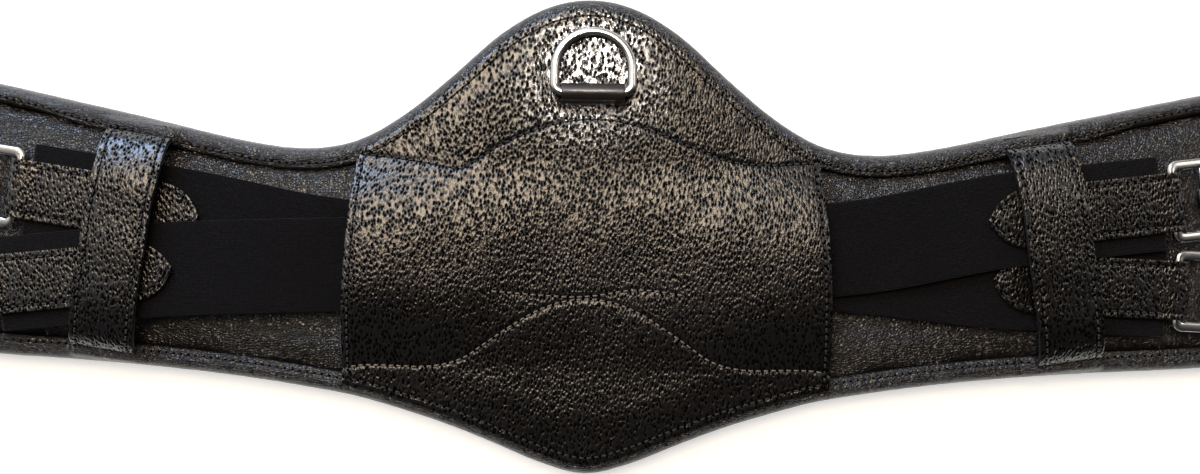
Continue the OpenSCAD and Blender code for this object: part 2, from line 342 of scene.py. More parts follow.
def finish_material(tree, output, colour, roughness, normal, **others):
    """A Principled shader with linked colour, roughness and normal; others are constants or links."""
    inputs = {"Base Color": colour, "Roughness": roughness}
    if normal is not None:
        inputs["Normal"] = normal
    inputs.update(others)
    shader = add_node(tree, "ShaderNodeBsdfPrincipled", inputs)
    tree.links.new(shader.outputs[0], output.inputs["Surface"])


def blend_colours(tree, factor, first, second):
    """Colour that goes from first to second with factor."""
    made = add_node(tree, "ShaderNodeMix", {"Factor": factor}, data_type="RGBA")
    for socket, value in ((6, first), (7, second)):
        if isinstance(value, bpy.types.NodeSocket):
            tree.links.new(value, made.inputs[socket])
        else:
            made.inputs[socket].default_value = value
    return made.outputs[2]


def spread(tree, value, low, high, to_low, to_high):
    """Maps a value's range on to another one."""
    made = add_node(tree, "ShaderNodeMapRange", {
        "Value": value, "From Min": low, "From Max": high, "To Min": to_low, "To Max": to_high})
    return made.outputs[0]


def shaded(hex_colour, factor):
    """A colour darkened or lightened by a factor."""
    value = linear(hex_colour)
    return (value[0] * factor, value[1] * factor, value[2] * factor, 1.0)


def pebbled_leather():
    """Printed cowhide, glazed: rounded ridges run together round small pits about 2 mm apart, whose colour is
    darkened as painted shade.
    """
    material, tree, output = new_material("printed_cowhide_glazed")
    place = add_node(tree, "ShaderNodeTexCoord").outputs["Object"]
    wander = add_node(tree, "ShaderNodeTexNoise", {"Vector": place, "Scale": 300.0, "Detail": 1.0})
    bent = add_node(tree, "ShaderNodeMix", {"Factor": 0.001, 4: place, 5: wander.outputs["Color"]},
                    data_type="VECTOR")
    drawn = add_node(tree, "ShaderNodeMapping", {
        "Vector": bent.outputs[1], "Rotation": (0.0, 0.0, 0.3), "Scale": (1.45, 0.8, 0.8)})
    cells = add_node(tree, "ShaderNodeTexVoronoi", {
        "Vector": drawn.outputs[0], "Scale": 1 / sizes().pebble, "Randomness": 0.9}, feature="F1")
    ridge = spread(tree, cells.outputs["Distance"], 0.2, 0.64, 0.0, 1.0)
    lumps = add_node(tree, "ShaderNodeTexNoise", {"Vector": drawn.outputs[0], "Scale": 640.0, "Detail": 1.0})
    height = add_node(tree, "ShaderNodeMath", {0: lumps.outputs["Fac"], 1: 1.3, 2: ridge},
                      operation="MULTIPLY_ADD")
    patches = add_node(tree, "ShaderNodeTexNoise", {"Vector": place, "Scale": 28.0, "Detail": 3.0})
    base = colours().grained
    # painted shade: the colour is darkened to a tenth in the pits and lifted a little on the ridges
    tone_with_groove_shade = blend_colours(tree, ridge, shaded(base, 0.1), shaded(base, 1.1))
    colour = blend_colours(tree, spread(tree, patches.outputs["Fac"], 0.35, 0.65, 0.0, 0.35),
                           tone_with_groove_shade, shaded(base, 0.7))
    roughness = spread(tree, patches.outputs["Fac"], 0.3, 0.7, 0.2, 0.27)
    gloss = spread(tree, ridge, 0.15, 0.9, 0.0, 1.0)
    relief = add_node(tree, "ShaderNodeBump", {"Strength": 0.85, "Distance": 0.0002,
                                               "Height": height.outputs[0]})
    finish_material(tree, output, colour, roughness, relief.outputs[0],
                    **{"IOR": 1.5, "Specular IOR Level": gloss})
    return material


def soft_leather(name, lift=1.0):
    """Drum-dyed nappa: a fine soft grain of round cells, gently creased, with a low sheen."""
    material, tree, output = new_material(name)
    place = add_node(tree, "ShaderNodeTexCoord").outputs["Object"]
    cells = {"Vector": place, "Scale": 1 / sizes().soft_grain, "Randomness": 1.0}
    veins = add_node(tree, "ShaderNodeTexVoronoi", cells, feature="DISTANCE_TO_EDGE")
    grain = spread(tree, veins.outputs["Distance"], 0.0, 0.25, 0.0, 1.0)
    drawn = add_node(tree, "ShaderNodeMapping", {"Vector": place, "Scale": (1.0, 0.35, 0.6)})
    creases = add_node(tree, "ShaderNodeTexNoise",
                       {"Vector": drawn.outputs[0], "Scale": 330.0, "Detail": 2.0, "Roughness": 0.5})
    folds = spread(tree, creases.outputs["Fac"], 0.38, 0.62, 0.0, 1.0)
    patches = add_node(tree, "ShaderNodeTexNoise", {"Vector": place, "Scale": 22.0, "Detail": 3.0})
    base = colours().soft
    # painted shade: the grooves between the grain's cells are darkened and the cells' middles are lighter
    tone_with_groove_shade = blend_colours(tree, grain, shaded(base, 0.25 * lift), shaded(base, 0.6 * lift))
    colour = blend_colours(tree, spread(tree, patches.outputs["Fac"], 0.35, 0.7, 0.0, 0.5),
                           tone_with_groove_shade, shaded(base, 0.42 * lift))
    roughness = spread(tree, patches.outputs["Fac"], 0.3, 0.7, 0.22, 0.3)
    fine = add_node(tree, "ShaderNodeBump", {"Strength": 0.8, "Distance": 0.00025, "Height": grain})
    relief = add_node(tree, "ShaderNodeBump", {"Strength": 0.8, "Distance": 0.0003,
                                               "Height": folds, "Normal": fine.outputs[0]})
    finish_material(tree, output, colour, roughness, relief.outputs[0],
                    **{"IOR": 1.5, "Specular IOR Level": 0.75})
    return material


def smooth_leather():
    """Bridle leather, waxed: nearly smooth, a warm brown-black with a broad highlight."""
    material, tree, output = new_material("bridle_leather_waxed")
    place = add_node(tree, "ShaderNodeTexCoord").outputs["Object"]
    grain = add_node(tree, "ShaderNodeTexNoise", {"Vector": place, "Scale": 900.0, "Detail": 3.0})
    patches = add_node(tree, "ShaderNodeTexNoise", {"Vector": place, "Scale": 120.0, "Detail": 2.0})
    colour = blend_colours(tree, patches.outputs["Fac"], linear("#100C0A"), linear("#201813"))
    roughness = spread(tree, patches.outputs["Fac"], 0.3, 0.7, 0.28, 0.42)
    relief = add_node(tree, "ShaderNodeBump", {"Strength": 0.25, "Distance": 0.0002,
                                               "Height": grain.outputs["Fac"]})
    finish_material(tree, output, colour, roughness, relief.outputs[0], **{"IOR": 1.5})
    return material


def edge_paint():
    """Acrylic edge paint on cut leather: black, smooth and slightly uneven."""
    material, tree, output = new_material("edge_paint_black")
    place = add_node(tree, "ShaderNodeTexCoord").outputs["Object"]
    uneven = add_node(tree, "ShaderNodeTexNoise", {"Vector": place, "Scale": 500.0, "Detail": 2.0})
    colour = blend_colours(tree, uneven.outputs["Fac"], shaded(colours().edge_paint, 0.8),
                           shaded(colours().edge_paint, 1.6))
    relief = add_node(tree, "ShaderNodeBump", {"Strength": 0.3, "Distance": 0.0002,
                                               "Height": uneven.outputs["Fac"]})
    finish_material(tree, output, colour, 0.42, relief.outputs[0], **{"IOR": 1.5})
    return material


def elastic_webbing():
    """Cotton-covered rubber webbing: fine cords along it, crossed by finer weft threads.

    It follows the UV map, whose u runs along the strap and v across it, both in metres."""
    material, tree, output = new_material("elastic_webbing_cotton")
    flat = add_node(tree, "ShaderNodeTexCoord").outputs["UV"]
    turned = add_node(tree, "ShaderNodeMapping", {"Vector": flat})
    turns = 2 * np.pi
    parts = add_node(tree, "ShaderNodeSeparateXYZ", {"Vector": turned.outputs[0]})
    along = add_node(tree, "ShaderNodeMath", {0: parts.outputs["X"], 1: turns / (0.55 * sizes().cord_pitch)},
                     operation="MULTIPLY")
    across = add_node(tree, "ShaderNodeMath", {0: parts.outputs["Y"], 1: turns / sizes().cord_pitch},
                      operation="MULTIPLY")
    cords = add_node(tree, "ShaderNodeMath", {0: across.outputs[0]}, operation="SINE")
    wefts = add_node(tree, "ShaderNodeMath", {0: along.outputs[0]}, operation="SINE")
    fuzz = add_node(tree, "ShaderNodeTexNoise", {"Vector": flat, "Scale": 1800.0, "Detail": 3.0})
    streaks = add_node(tree, "ShaderNodeTexNoise", {"Vector": flat, "Scale": 60.0, "Detail": 2.0})
    specks = add_node(tree, "ShaderNodeTexNoise", {"Vector": flat, "Scale": 850.0, "Detail": 1.0})
    cord_height = spread(tree, cords.outputs[0], -1.0, 1.0, 0.0, 0.5)
    weft_height = spread(tree, wefts.outputs[0], -1.0, 1.0, 0.0, 0.5)
    woven = add_node(tree, "ShaderNodeMath", {0: cord_height, 1: weft_height}, operation="ADD")
    height = add_node(tree, "ShaderNodeMath", {0: woven.outputs[0], 1: fuzz.outputs["Fac"]}, operation="ADD")
    base = colours().elastic
    # random specks plus painted shade and highlight: the weave's grooves are darkened and its raised cords
    # lightened
    specks_and_weave_shade = add_node(tree, "ShaderNodeMath", {0: specks.outputs["Fac"], 1: 1.6, 2: woven.outputs[0]},
                       operation="MULTIPLY_ADD")
    tone_with_groove_shade = blend_colours(tree, spread(tree, specks_and_weave_shade.outputs[0], 0.9, 1.8, 0.0, 1.0),
                         shaded(base, 0.05), shaded(base, 2.8))
    colour = blend_colours(tree, spread(tree, streaks.outputs["Fac"], 0.35, 0.65, 0.0, 0.35),
                           tone_with_groove_shade, shaded(base, 0.8))
    relief = add_node(tree, "ShaderNodeBump", {"Strength": 0.8, "Distance": 0.0003,
                                               "Height": height.outputs[0]})
    finish_material(tree, output, colour, 0.85, relief.outputs[0],
                    **{"IOR": 1.45, "Sheen Weight": 0.06, "Sheen Roughness": 0.5,
                       "Specular IOR Level": 0.1})
    return material


def stainless_steel():
    """Stainless steel, cast and polished: bright, with fine rub marks and dull patches from handling."""
    material, tree, output = new_material("stainless_steel_polished")
    place = add_node(tree, "ShaderNodeTexCoord").outputs["Object"]
    patches = add_node(tree, "ShaderNodeTexNoise", {"Vector": place, "Scale": 180.0, "Detail": 4.0})
    marks_map = add_node(tree, "ShaderNodeMapping", {"Vector": place, "Scale": (900.0, 6000.0, 900.0)})
    marks = add_node(tree, "ShaderNodeTexNoise",
                     {"Vector": marks_map.outputs[0], "Scale": 1.0, "Detail": 2.0})
    base = colours().steel
    colour = blend_colours(tree, patches.outputs["Fac"], shaded(base, 0.86), shaded(base, 1.0))
    roughness = spread(tree, patches.outputs["Fac"], 0.3, 0.7, 0.16, 0.27)
    relief = add_node(tree, "ShaderNodeBump", {"Strength": 0.08, "Distance": 0.0001,
                                               "Height": marks.outputs["Fac"]})
    finish_material(tree, output, colour, roughness, relief.outputs[0], **{"Metallic": 1.0})
    return material


def needle_hole():
    """Inside of a needle hole: no light comes out of it."""
    material, tree, output = new_material("needle_hole_shadow")
    finish_material(tree, output, linear("#030303"), 0.9, None, **{"Specular IOR Level": 0.0})
    return material


def thread(name, hex_colour):
    """Bonded polyester thread, two plies twisted, slightly waxed."""
    material, tree, output = new_material(name)
    place = add_node(tree, "ShaderNodeTexCoord").outputs["Object"]
    twist = add_node(tree, "ShaderNodeTexNoise", {"Vector": place, "Scale": 1500.0, "Detail": 2.0})
    colour = blend_colours(tree, twist.outputs["Fac"], shaded(hex_colour, 0.6), shaded(hex_colour, 1.5))
    relief = add_node(tree, "ShaderNodeBump", {"Strength": 0.4, "Distance": 0.0002,
                                               "Height": twist.outputs["Fac"]})
    finish_material(tree, output, colour, 0.5, relief.outputs[0], **{"IOR": 1.5, "Sheen Weight": 0.1})
    return material


MATERIALS = {}


def material(key):
    """Each material is made once, when a piece first asks for it."""
    makers = {
        "pebbled": pebbled_leather,
        "pad": lambda: soft_leather("nappa_leather_soft"),
        "binding": lambda: soft_leather("nappa_leather_turned_edge", 0.75),
        "smooth": smooth_leather,
        "edge": edge_paint,
        "elastic": elastic_webbing,
        "steel": stainless_steel,
        "hole": needle_hole,
        "dark_thread": lambda: thread("thread_polyester_dark", colours().dark_thread),
        "worn_thread": lambda: thread("thread_polyester_worn", colours().worn_thread),
    }
    if key not in MATERIALS:
        MATERIALS[key] = makers[key]()
    return MATERIALS[key]


# ---------------------------------------------------------------- the body's outline

HALF_COUNT = 560          # points along each half of the outline
SORT_CENTRE = np.array([0.0, -30.0])


def read_outline():
    """The edge of the lining's foot as a closed curve that runs clockwise from the left end.

    The foot's corners are sorted by their angle round a point inside, smoothed by cutting corners,
    and sampled evenly along the front half and along the rear half."""
    points = mesh_points(frame["nodes"]["lining"])
    foot = np.unique(np.round(points[points[:, 2] < 0.01, :2], 2), axis=0)
    away = foot - SORT_CENTRE
    foot = foot[np.argsort(-np.arctan2(away[:, 1], away[:, 0]))]
    loop = resample(cut_corners(foot, 3, True), 4000, closed=True)
    level = (PANEL_LOW[1] + PANEL_HIGH[1]) / 2 + 8
    left = np.argmin(loop[:, 0] + 0.02 * np.abs(loop[:, 1] - level))
    loop = np.roll(loop, -left, axis=0)
    right = np.argmax(loop[:, 0] - 0.02 * np.abs(loop[:, 1] - level))
    front = resample(loop[:right + 1], HALF_COUNT + 1)
    rear = resample(np.vstack([loop[right:], loop[:1]]), HALF_COUNT + 1)
    return np.vstack([front[:-1], rear[:-1]])


OUTLINE = read_outline()
FORWARD = tangents(OUTLINE, closed=True)
INWARD = np.stack([FORWARD[:, 1], -FORWARD[:, 0]], axis=1)
OUTLINE_ALONG = arc_lengths(OUTLINE, closed=True)
IS_FRONT = np.arange(2 * HALF_COUNT) <= HALF_COUNT


def spine():
    """The middle line that both halves of the outline close on: 0.8 of the way out to each end."""
    front = OUTLINE[:HALF_COUNT + 1]
    rear = np.vstack([OUTLINE[HALF_COUNT:], OUTLINE[:1]])[::-1]
    middle = (front + rear) / 2 * np.array([0.8, 0.9])
    return np.vstack([middle[:-1], middle[::-1][:-1]])


SPINE = spine()


def inset(distance):
    """The outline moved inwards by a distance, or by one distance for each point."""
    return OUTLINE + INWARD * np.broadcast_to(distance, (2 * HALF_COUNT,))[:, None]


def patch(distance, rows):
    """Rows of points that lead from the outline, moved in by distance, to the spine."""
    rim = inset(distance)
    t = np.linspace(0, 1, rows)[:, None, None]
    return rim * (1 - t) + SPINE * t


def edge_of_half(distance, front):
    """The inset outline's front or rear half as (x, y) sorted by x, for reading y at any x."""
    half = inset(distance)[IS_FRONT if front else ~IS_FRONT]
    return half[np.argsort(half[:, 0])]


# ---------------------------------------------------------------- keepers' place

KEEPER_TURN = np.radians(8.7)
KEEPER_MIDDLE = np.array([198.5, -4.5])
KEEPER_WIDTH = 27.0
KEEPER_HALF = 45.0
KEEPER_FOOT = 6.5
KEEPER_RISE = box_mm("keeper_left_lining")[1][2] - FACE_Z - 1.0
KEEPER_LEATHER = 1.6
KEEPER_LINING = 1.0


def keeper_axes(side):
    """Middle of a keeper, its direction across its width and its direction along its arch."""
    c, s = np.cos(KEEPER_TURN), side * np.sin(KEEPER_TURN)
    middle = np.array([side * KEEPER_MIDDLE[0], KEEPER_MIDDLE[1]])
    return middle, np.array([c, s]), np.array([-s, c])


def keeper_cover(points):
    """How much a keeper's foot lifts the turned edge over it, at (x, y) points: a bump with soft sides."""
    lift = 0
    for side in (-1, 1):
        middle, across, along = keeper_axes(side)
        away = points - middle
        u, v = away @ across, np.abs(away @ along)
        window = ((1 - smoothstep(np.abs(u), 13.5, 17.0)) * smoothstep(v, 41, 45)
                  * (1 - smoothstep(v, 50, 53.5)))
        lift = lift + window
    return lift * (KEEPER_LEATHER + KEEPER_LINING)


# ---------------------------------------------------------------- lining and turned edge

# Section of the turned edge: distance in from the outline and height, in mm, for an edge 9.9 mm wide
EDGE_SECTION = np.array([
    [6.0, 0.0], [3.0, 0.15], [1.4, 0.75], [0.45, 2.1], [0.0, 4.6], [0.0, 7.6], [0.35, 10.2], [1.1, 12.3],
    [2.4, 13.8], [4.2, 14.55], [6.3, 14.6], [8.0, 14.3], [9.2, 13.9], [9.8, 13.4], [9.9, 12.6]])
INNER_SECTION = np.array([[8.0, 12.0], [3.0, 11.3], [1.6, 6.0], [2.6, 1.9], [6.0, 1.2]])
FULL_EDGE = 9.9


def edge_share():
    """Width of the turned edge at each point of the outline, as a share of its full width.

    Past the keepers the front edge narrows to two thirds."""
    x, y = np.abs(OUTLINE[:, 0]), OUTLINE[:, 1]
    narrow = smoothstep(x, 212, 240) * smoothstep(y, -10, 10)
    return sizes().edge_width / MM / FULL_EDGE * (1 - 0.32 * narrow)


def edge_row(distance, height, share):
    """One line of the turned edge: creases run across it, and the keepers' feet lift it."""
    along = OUTLINE_ALONG[:-1]
    top = smoothstep(height, 8, 14)
    d = np.where(distance > 2.4, 2.4 + (distance - 2.4) * share, distance)
    crease = ripple(along, 6 * d, [(7.3, 0), (11.9, 0.25), (17.1, -0.2), (29.0, 0.1)], 4)
    pucker = 0.22 * bell(distance - 7.3, 1.1)
    flat = OUTLINE + INWARD * (d + 0.08 * crease * (1 - top) * smoothstep(height, 0.3, 3))[:, None]
    z = height + top * (0.08 * crease - pucker) + keeper_cover(flat) * top
    return np.column_stack([flat, z])


def edge_rows(section):
    share = edge_share()
    return np.stack([edge_row(d, z, share) for d, z in section])


def refined(section, rounds=1):
    """The section with its corners cut, so that it is round."""
    return cut_corners(section, rounds, False)


class GIRTH_OT_lining(bpy.types.Operator):
    """Lining leather: flat on the horse's side, turned up round the pad and over on to its face"""

    bl_idname = "girth.lining"
    bl_label = "Lining and turned edge"

    def execute(self, context):
        rows = edge_rows(refined(EDGE_SECTION, 2))
        back = patch(6.0, 9)[::-1]
        back = np.concatenate([back, np.zeros(back.shape[:2] + (1,))], axis=2)
        inner = np.stack([np.column_stack([inset(d), np.full(2 * HALF_COUNT, z)]) for d, z in INNER_SECTION])
        floor = patch(6.0, 5)[1:]
        floor = np.concatenate([floor, np.full(floor.shape[:2] + (1,), 1.2)], axis=2)
        points = np.concatenate([back[:-1], rows, inner, floor])
        count = len(points)
        faces = grid_quads(count, 2 * HALF_COUNT, wrap_columns=True)
        widths = np.concatenate([[0], np.cumsum(np.linalg.norm(np.diff(points[:, 300], axis=0), axis=1))])
        uv = grid_uv(widths, OUTLINE_ALONG)
        made = make_object("lining_leather", points.reshape(-1, 3), faces.tolist(), [material("binding")],
                           ROOT, uv)
        outward(made, merge_mm=0.01)
        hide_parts("lining")
        return {"FINISHED"}


# ---------------------------------------------------------------- padded body

PAD_START = 6.5           # the pad's edge lies this far in from the outline, under the turned edge
PAD_LOW = 2.2
PAD_TOP = 11.9
PAD_VOXEL = 5.0
PAD_SWELL = 1.6           # most that the filled pad may rise


def pad_shape():
    """A closed plate with rounded sides that follows the outline: the pad before it is filled."""
    share = np.array([[3.0, PAD_LOW], [0.8, PAD_LOW + 1.0], [0.0, 4.5], [0.0, 8.6],
                      [0.8, 10.8], [3.0, PAD_TOP]])
    side = [np.column_stack([inset(PAD_START + d), np.full(2 * HALF_COUNT, z)]) for d, z in share]
    low = patch(PAD_START + 3, 10)[::-1][:-1]
    high = patch(PAD_START + 3, 10)[1:]
    low = np.concatenate([low, np.full(low.shape[:2] + (1,), PAD_LOW)], axis=2)
    high = np.concatenate([high, np.full(high.shape[:2] + (1,), PAD_TOP)], axis=2)
    return np.concatenate([low, np.stack(side), high])


def fill_by_cloth(obj, pressure, cap):
    """Cloth filled with air: 20 frames with no gravity, then each point's way is capped and kept."""
    rest = mesh_points(obj)
    pins = obj.vertex_groups.new(name="pinned")
    pins.add(np.flatnonzero(rest[:, 2] < PAD_LOW + 2.5).tolist(), 1.0, "REPLACE")
    cloth = obj.modifiers.new("filling", "CLOTH")
    cloth.settings.quality = 6
    cloth.settings.mass = 0.25
    cloth.settings.tension_stiffness = 14
    cloth.settings.compression_stiffness = 14
    cloth.settings.bending_stiffness = 0.5
    cloth.settings.use_pressure = True
    cloth.settings.uniform_pressure_force = pressure
    cloth.settings.effector_weights.gravity = 0
    cloth.settings.vertex_group_mass = "pinned"
    cloth.point_cache.frame_start = 1
    cloth.point_cache.frame_end = 20
    for number in range(1, 21):
        bpy.context.scene.frame_set(number)
    apply_modifiers(obj)
    bpy.context.scene.frame_set(1)
    move = mesh_points(obj) - rest
    length = np.linalg.norm(move, axis=1, keepdims=True)
    limit = cap * np.tanh(length / cap)
    set_points(obj, rest + unit(move) * limit)


def pad_relief(points):
    """Height added to the filled pad's face: creases across its edges, flat under the straps."""
    x, y = points[:, 0], points[:, 1]
    front = np.interp(x, *edge_of_half(PAD_START, True).T)
    rear = np.interp(x, *edge_of_half(PAD_START, False).T)
    near = np.minimum(front - y, y - rear)
    crease = ripple(x, 0.25 * y, [(6.1, 0), (9.7, 0.15), (14.3, -0.2)], 9)
    roll = ripple(x, y, [(31, 0.4), (47, -0.5), (23, 1.2)], 10)
    edge = bell(near - 8, 9)
    return 0.14 * crease * edge + 0.16 * roll


class GIRTH_OT_padded_body(bpy.types.Operator):
    """Foam pad in its soft leather skin, swollen by a cloth simulation between its turned edges"""

    bl_idname = "girth.padded_body"
    bl_label = "Padded body"

    def execute(self, context):
        points = pad_shape()
        faces = grid_quads(len(points), 2 * HALF_COUNT, wrap_columns=True)
        made = make_object("padded_body", points.reshape(-1, 3), faces.tolist(), [material("pad")],
                           None)
        outward(made, merge_mm=0.01)
        voxels = made.modifiers.new("voxels", "REMESH")
        voxels.mode = "VOXEL"
        voxels.voxel_size = PAD_VOXEL * MM
        voxels.use_smooth_shade = True
        apply_modifiers(made)
        fill_by_cloth(made, sizes().pad_pressure, PAD_SWELL)
        finer = made.modifiers.new("finer", "SUBSURF")
        finer.levels = 1
        finer.render_levels = 1
        apply_modifiers(made)
        shape = mesh_points(made)
        face = smoothstep(shape[:, 2], 9.5, 11.5)
        shape[:, 2] += face * pad_relief(shape)
        shape[:, 2] = np.minimum(shape[:, 2], FACE_Z)
        set_points(made, shape)
        made.data.polygons.foreach_set("use_smooth", [True] * len(made.data.polygons))
        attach(made, ROOT)
        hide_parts("foam_pad", "outer_leather", "upper_filler", "lower_filler")
        return {"FINISHED"}


# ---------------------------------------------------------------- belly panel

RING_REACH = 14.5         # middle of the patch that the ring lies on, from its bar
RING_PRESS, RING_FREE = 20.0, 28.0     # the leather is flat inside the first radius, padded past the second
PANEL_MARGIN = 5.0
PANEL_LEATHER = 2.2
PANEL_TOP_HALF = 99.0
PANEL_LOW_HALF = 104.5
TUNNEL_MIDDLE = -12.5
TUNNEL_HALF = 45.0
MIDDLE_RISE, SIDE_RISE = 1.8, 6.8
FRONT_BELL = np.array([[-101, 34.5], [-80, 32.5], [-60, 29.2], [-55, 27.8], [-50, 30.5],
                       [-38, 39.0], [-20, 47], [0, 51], [20, 48.5], [45, 38.0], [66, 30.5], [101, 33]], float)
REAR_BELL = np.array([[-104, -57.5], [-94, -55.5], [-58, -57], [-38, -42], [-18, -29.4], [0, -25.7],
                      [18, -29.4], [38, -42], [58, -57], [94, -55.5], [104, -57.5]], float)
CHEVRON = np.array([[-42, -23.5], [-20, -25.2], [0, -26], [22, -21.5], [41, -24.5]], float)


def line_height(line, x):
    """y of a smoothed line at x."""
    smooth = cut_corners(line, 3, False)
    return np.interp(x, smooth[:, 0], smooth[:, 1])


def line_distance(line, x, y):
    """Roughly how far (x, y) is from a line: the vertical distance times the cosine of its slope."""
    smooth = cut_corners(line, 3, False)
    slope = np.interp(x, smooth[:, 0], np.gradient(smooth[:, 1], smooth[:, 0]))
    return (y - np.interp(x, smooth[:, 0], smooth[:, 1])) / np.hypot(1, slope)


def panel_half_width(y):
    """Half of the panel's width at y: it widens to the rear and its sides bow out a little."""
    reach = 0.35 * (PANEL_HIGH[1] - PANEL_LOW[1]) + 0.25 * PANEL_HIGH[1]
    t = np.clip((y - PANEL_LOW[1] * 0.6) / reach, 0, 1)
    return PANEL_LOW_HALF + (PANEL_TOP_HALF - PANEL_LOW_HALF) * t + 1.2 * np.sin(np.pi * t)


def panel_height(x, y):
    """Height of the panel's face: it lies on the turned edge, is lightly padded inside its bell lines,
    is pressed flat under the ring, and bulges over the straps by a rise that grows to its open sides,
    times (1 - |s|^2.6)^1.6 of the way s across the tunnel."""
    front = np.interp(x, *edge_of_half(PANEL_MARGIN, True).T)
    rear = np.interp(x, *edge_of_half(PANEL_MARGIN, False).T)
    rim = np.minimum(front - y, y - rear)
    side = panel_half_width(y) - np.abs(x)
    s = np.clip((y - TUNNEL_MIDDLE) / TUNNEL_HALF, -1, 1)
    rise = MIDDLE_RISE + (SIDE_RISE - MIDDLE_RISE) * smoothstep(np.abs(x), 5, 105)
    bulge = rise * (1 - np.abs(s) ** 2.6) ** 1.6
    from_ring = np.hypot(x - RING_CENTRE[0], y - RING_CENTRE[1] - RING_REACH)
    loose = smoothstep(from_ring, RING_PRESS, RING_FREE)
    padding = 1.1 * smoothstep(rim, 2, 22) * loose
    seams = bell(line_distance(FRONT_BELL, x, y), 0.9) + bell(line_distance(REAR_BELL, x, y), 0.9)
    chevron = bell(line_distance(CHEVRON, x, y), 1.6) * (1 - smoothstep(np.abs(x), 34, 42))
    row = bell(rim - 3.2, 0.9) + bell(side - 2.6, 0.9)
    soft = 0.28 * ripple(x, y, [(62, 0.3), (41, 1.3), (34, -0.8), (88, 2.0)], 21)
    slump = -0.55 * bell(rim, 1.6) - 0.55 * bell(side, 2.0)
    slit = -0.9 * bell((y - RING_SLIT_Y) / 2.2, 1) * (1 - smoothstep(np.abs(x - RING_CENTRE[0]), 12.5, 16))
    return (EDGE_Z + PANEL_LEATHER + bulge + padding + soft * loose * smoothstep(rim, 2, 12)
            - 0.4 * seams - 0.2 * chevron - 0.25 * np.minimum(row, 1) + slump + slit)


RING_LOW, RING_HIGH = box_mm("ring")
RING_BAR = np.array(JOINTS["ring_swing"]["pos_m"]) / MM
RING_SLIT_Y = RING_BAR[1] - 3.4
RING_CENTRE = np.array([(RING_LOW[0] + RING_HIGH[0]) / 2, RING_BAR[1], RING_BAR[2]])


def surface_normals(height, x, y):
    """Upward unit normals of a height function, from its slopes over 0.2 mm."""
    step = 0.2
    slope_x = (height(x + step, y) - height(x - step, y)) / (2 * step)
    slope_y = (height(x, y + step) - height(x, y - step)) / (2 * step)
    return unit(np.stack([-slope_x, -slope_y, np.ones_like(x)], axis=-1))


def panel_point(u, v):
    """(x, y) of the panel for u from -1 to 1 across and v from 0 at the rear edge to 1 at the front."""
    y = PANEL_LOW[1] + (PANEL_HIGH[1] - PANEL_LOW[1]) * v
    for _ in range(4):
        x = u * panel_half_width(y)
        front = np.interp(x, *edge_of_half(PANEL_MARGIN, True).T)
        rear = np.interp(x, *edge_of_half(PANEL_MARGIN, False).T)
        y = rear + (front - rear) * v
    return x, y


class GIRTH_OT_belly_panel(bpy.types.Operator):
    """Belly panel of printed cowhide, sewn along both edges and open at its sides for the straps"""

    bl_idname = "girth.belly_panel"
    bl_label = "Belly panel"

    def execute(self, context):
        across, up = 200, 200
        u, v = np.meshgrid(np.linspace(-1, 1, across), np.linspace(0, 1, up), indexing="ij")
        x, y = panel_point(u, v)
        points = np.stack([x, y, panel_height(x, y)], axis=-1)
        faces = grid_quads(across, up)
        made = make_object("belly_panel", points.reshape(-1, 3), faces.tolist(),
                           [material("pebbled"), material("edge")], ROOT)
        add_thickness(made, 1.9, offset=-1.0, rim_slot=1, bevel=0.5)
        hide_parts("centre_panel")
        return {"FINISHED"}


# ---------------------------------------------------------------- keepers

KEEPER_ROW = 10.9         # a keeper's rows of stitches from its middle


def keeper_line():
    """A keeper's inner face seen along the girth: feet, and z = rise (1 - |s|^3)^(1/3) between them."""
    angle = np.radians(np.linspace(-90, 90, 61))
    s = np.sin(angle)
    arch = np.column_stack([KEEPER_HALF * s, FACE_Z + KEEPER_RISE * (1 - np.abs(s) ** 3) ** (1 / 3)])
    foot = KEEPER_HALF + KEEPER_FOOT
    line = np.vstack([[1.8 - foot, FACE_Z], [-KEEPER_HALF - 1.5, FACE_Z], arch[1:-1],
                      [KEEPER_HALF + 1.5, FACE_Z], [foot, FACE_Z]])
    return resample(cut_corners(line, 2, False), 150)


def keeper_surface(side, level, t, dent=0.0):
    """Points of a keeper at level mm over its inner face, for t from -1 to 1 across its width."""
    middle, across, along = keeper_axes(side)
    line = keeper_line()
    heading = tangents(line)
    lifted = line + np.stack([-heading[:, 1], heading[:, 0]], axis=1) * level
    s, z = lifted[:, :1], lifted[:, 1:]
    crown = 0.35 * (1 - t ** 2) * smoothstep(z, FACE_Z + 4, FACE_Z + 10)
    wave = 0.25 * ripple(s, 4 * t, [(37, 0), (23, 0.4)], 30 + side)
    width = KEEPER_WIDTH / 2 * t + 0.35 * ripple(s, 0 * s, [(55, 0), (33, 0)], 33 + side)
    flat = middle + width[..., None] * across + (s + 0 * t)[..., None] * along
    height = z + crown + wave * smoothstep(z, FACE_Z + 4, FACE_Z + 10) - dent
    return np.concatenate([flat, height[..., None]], axis=-1)


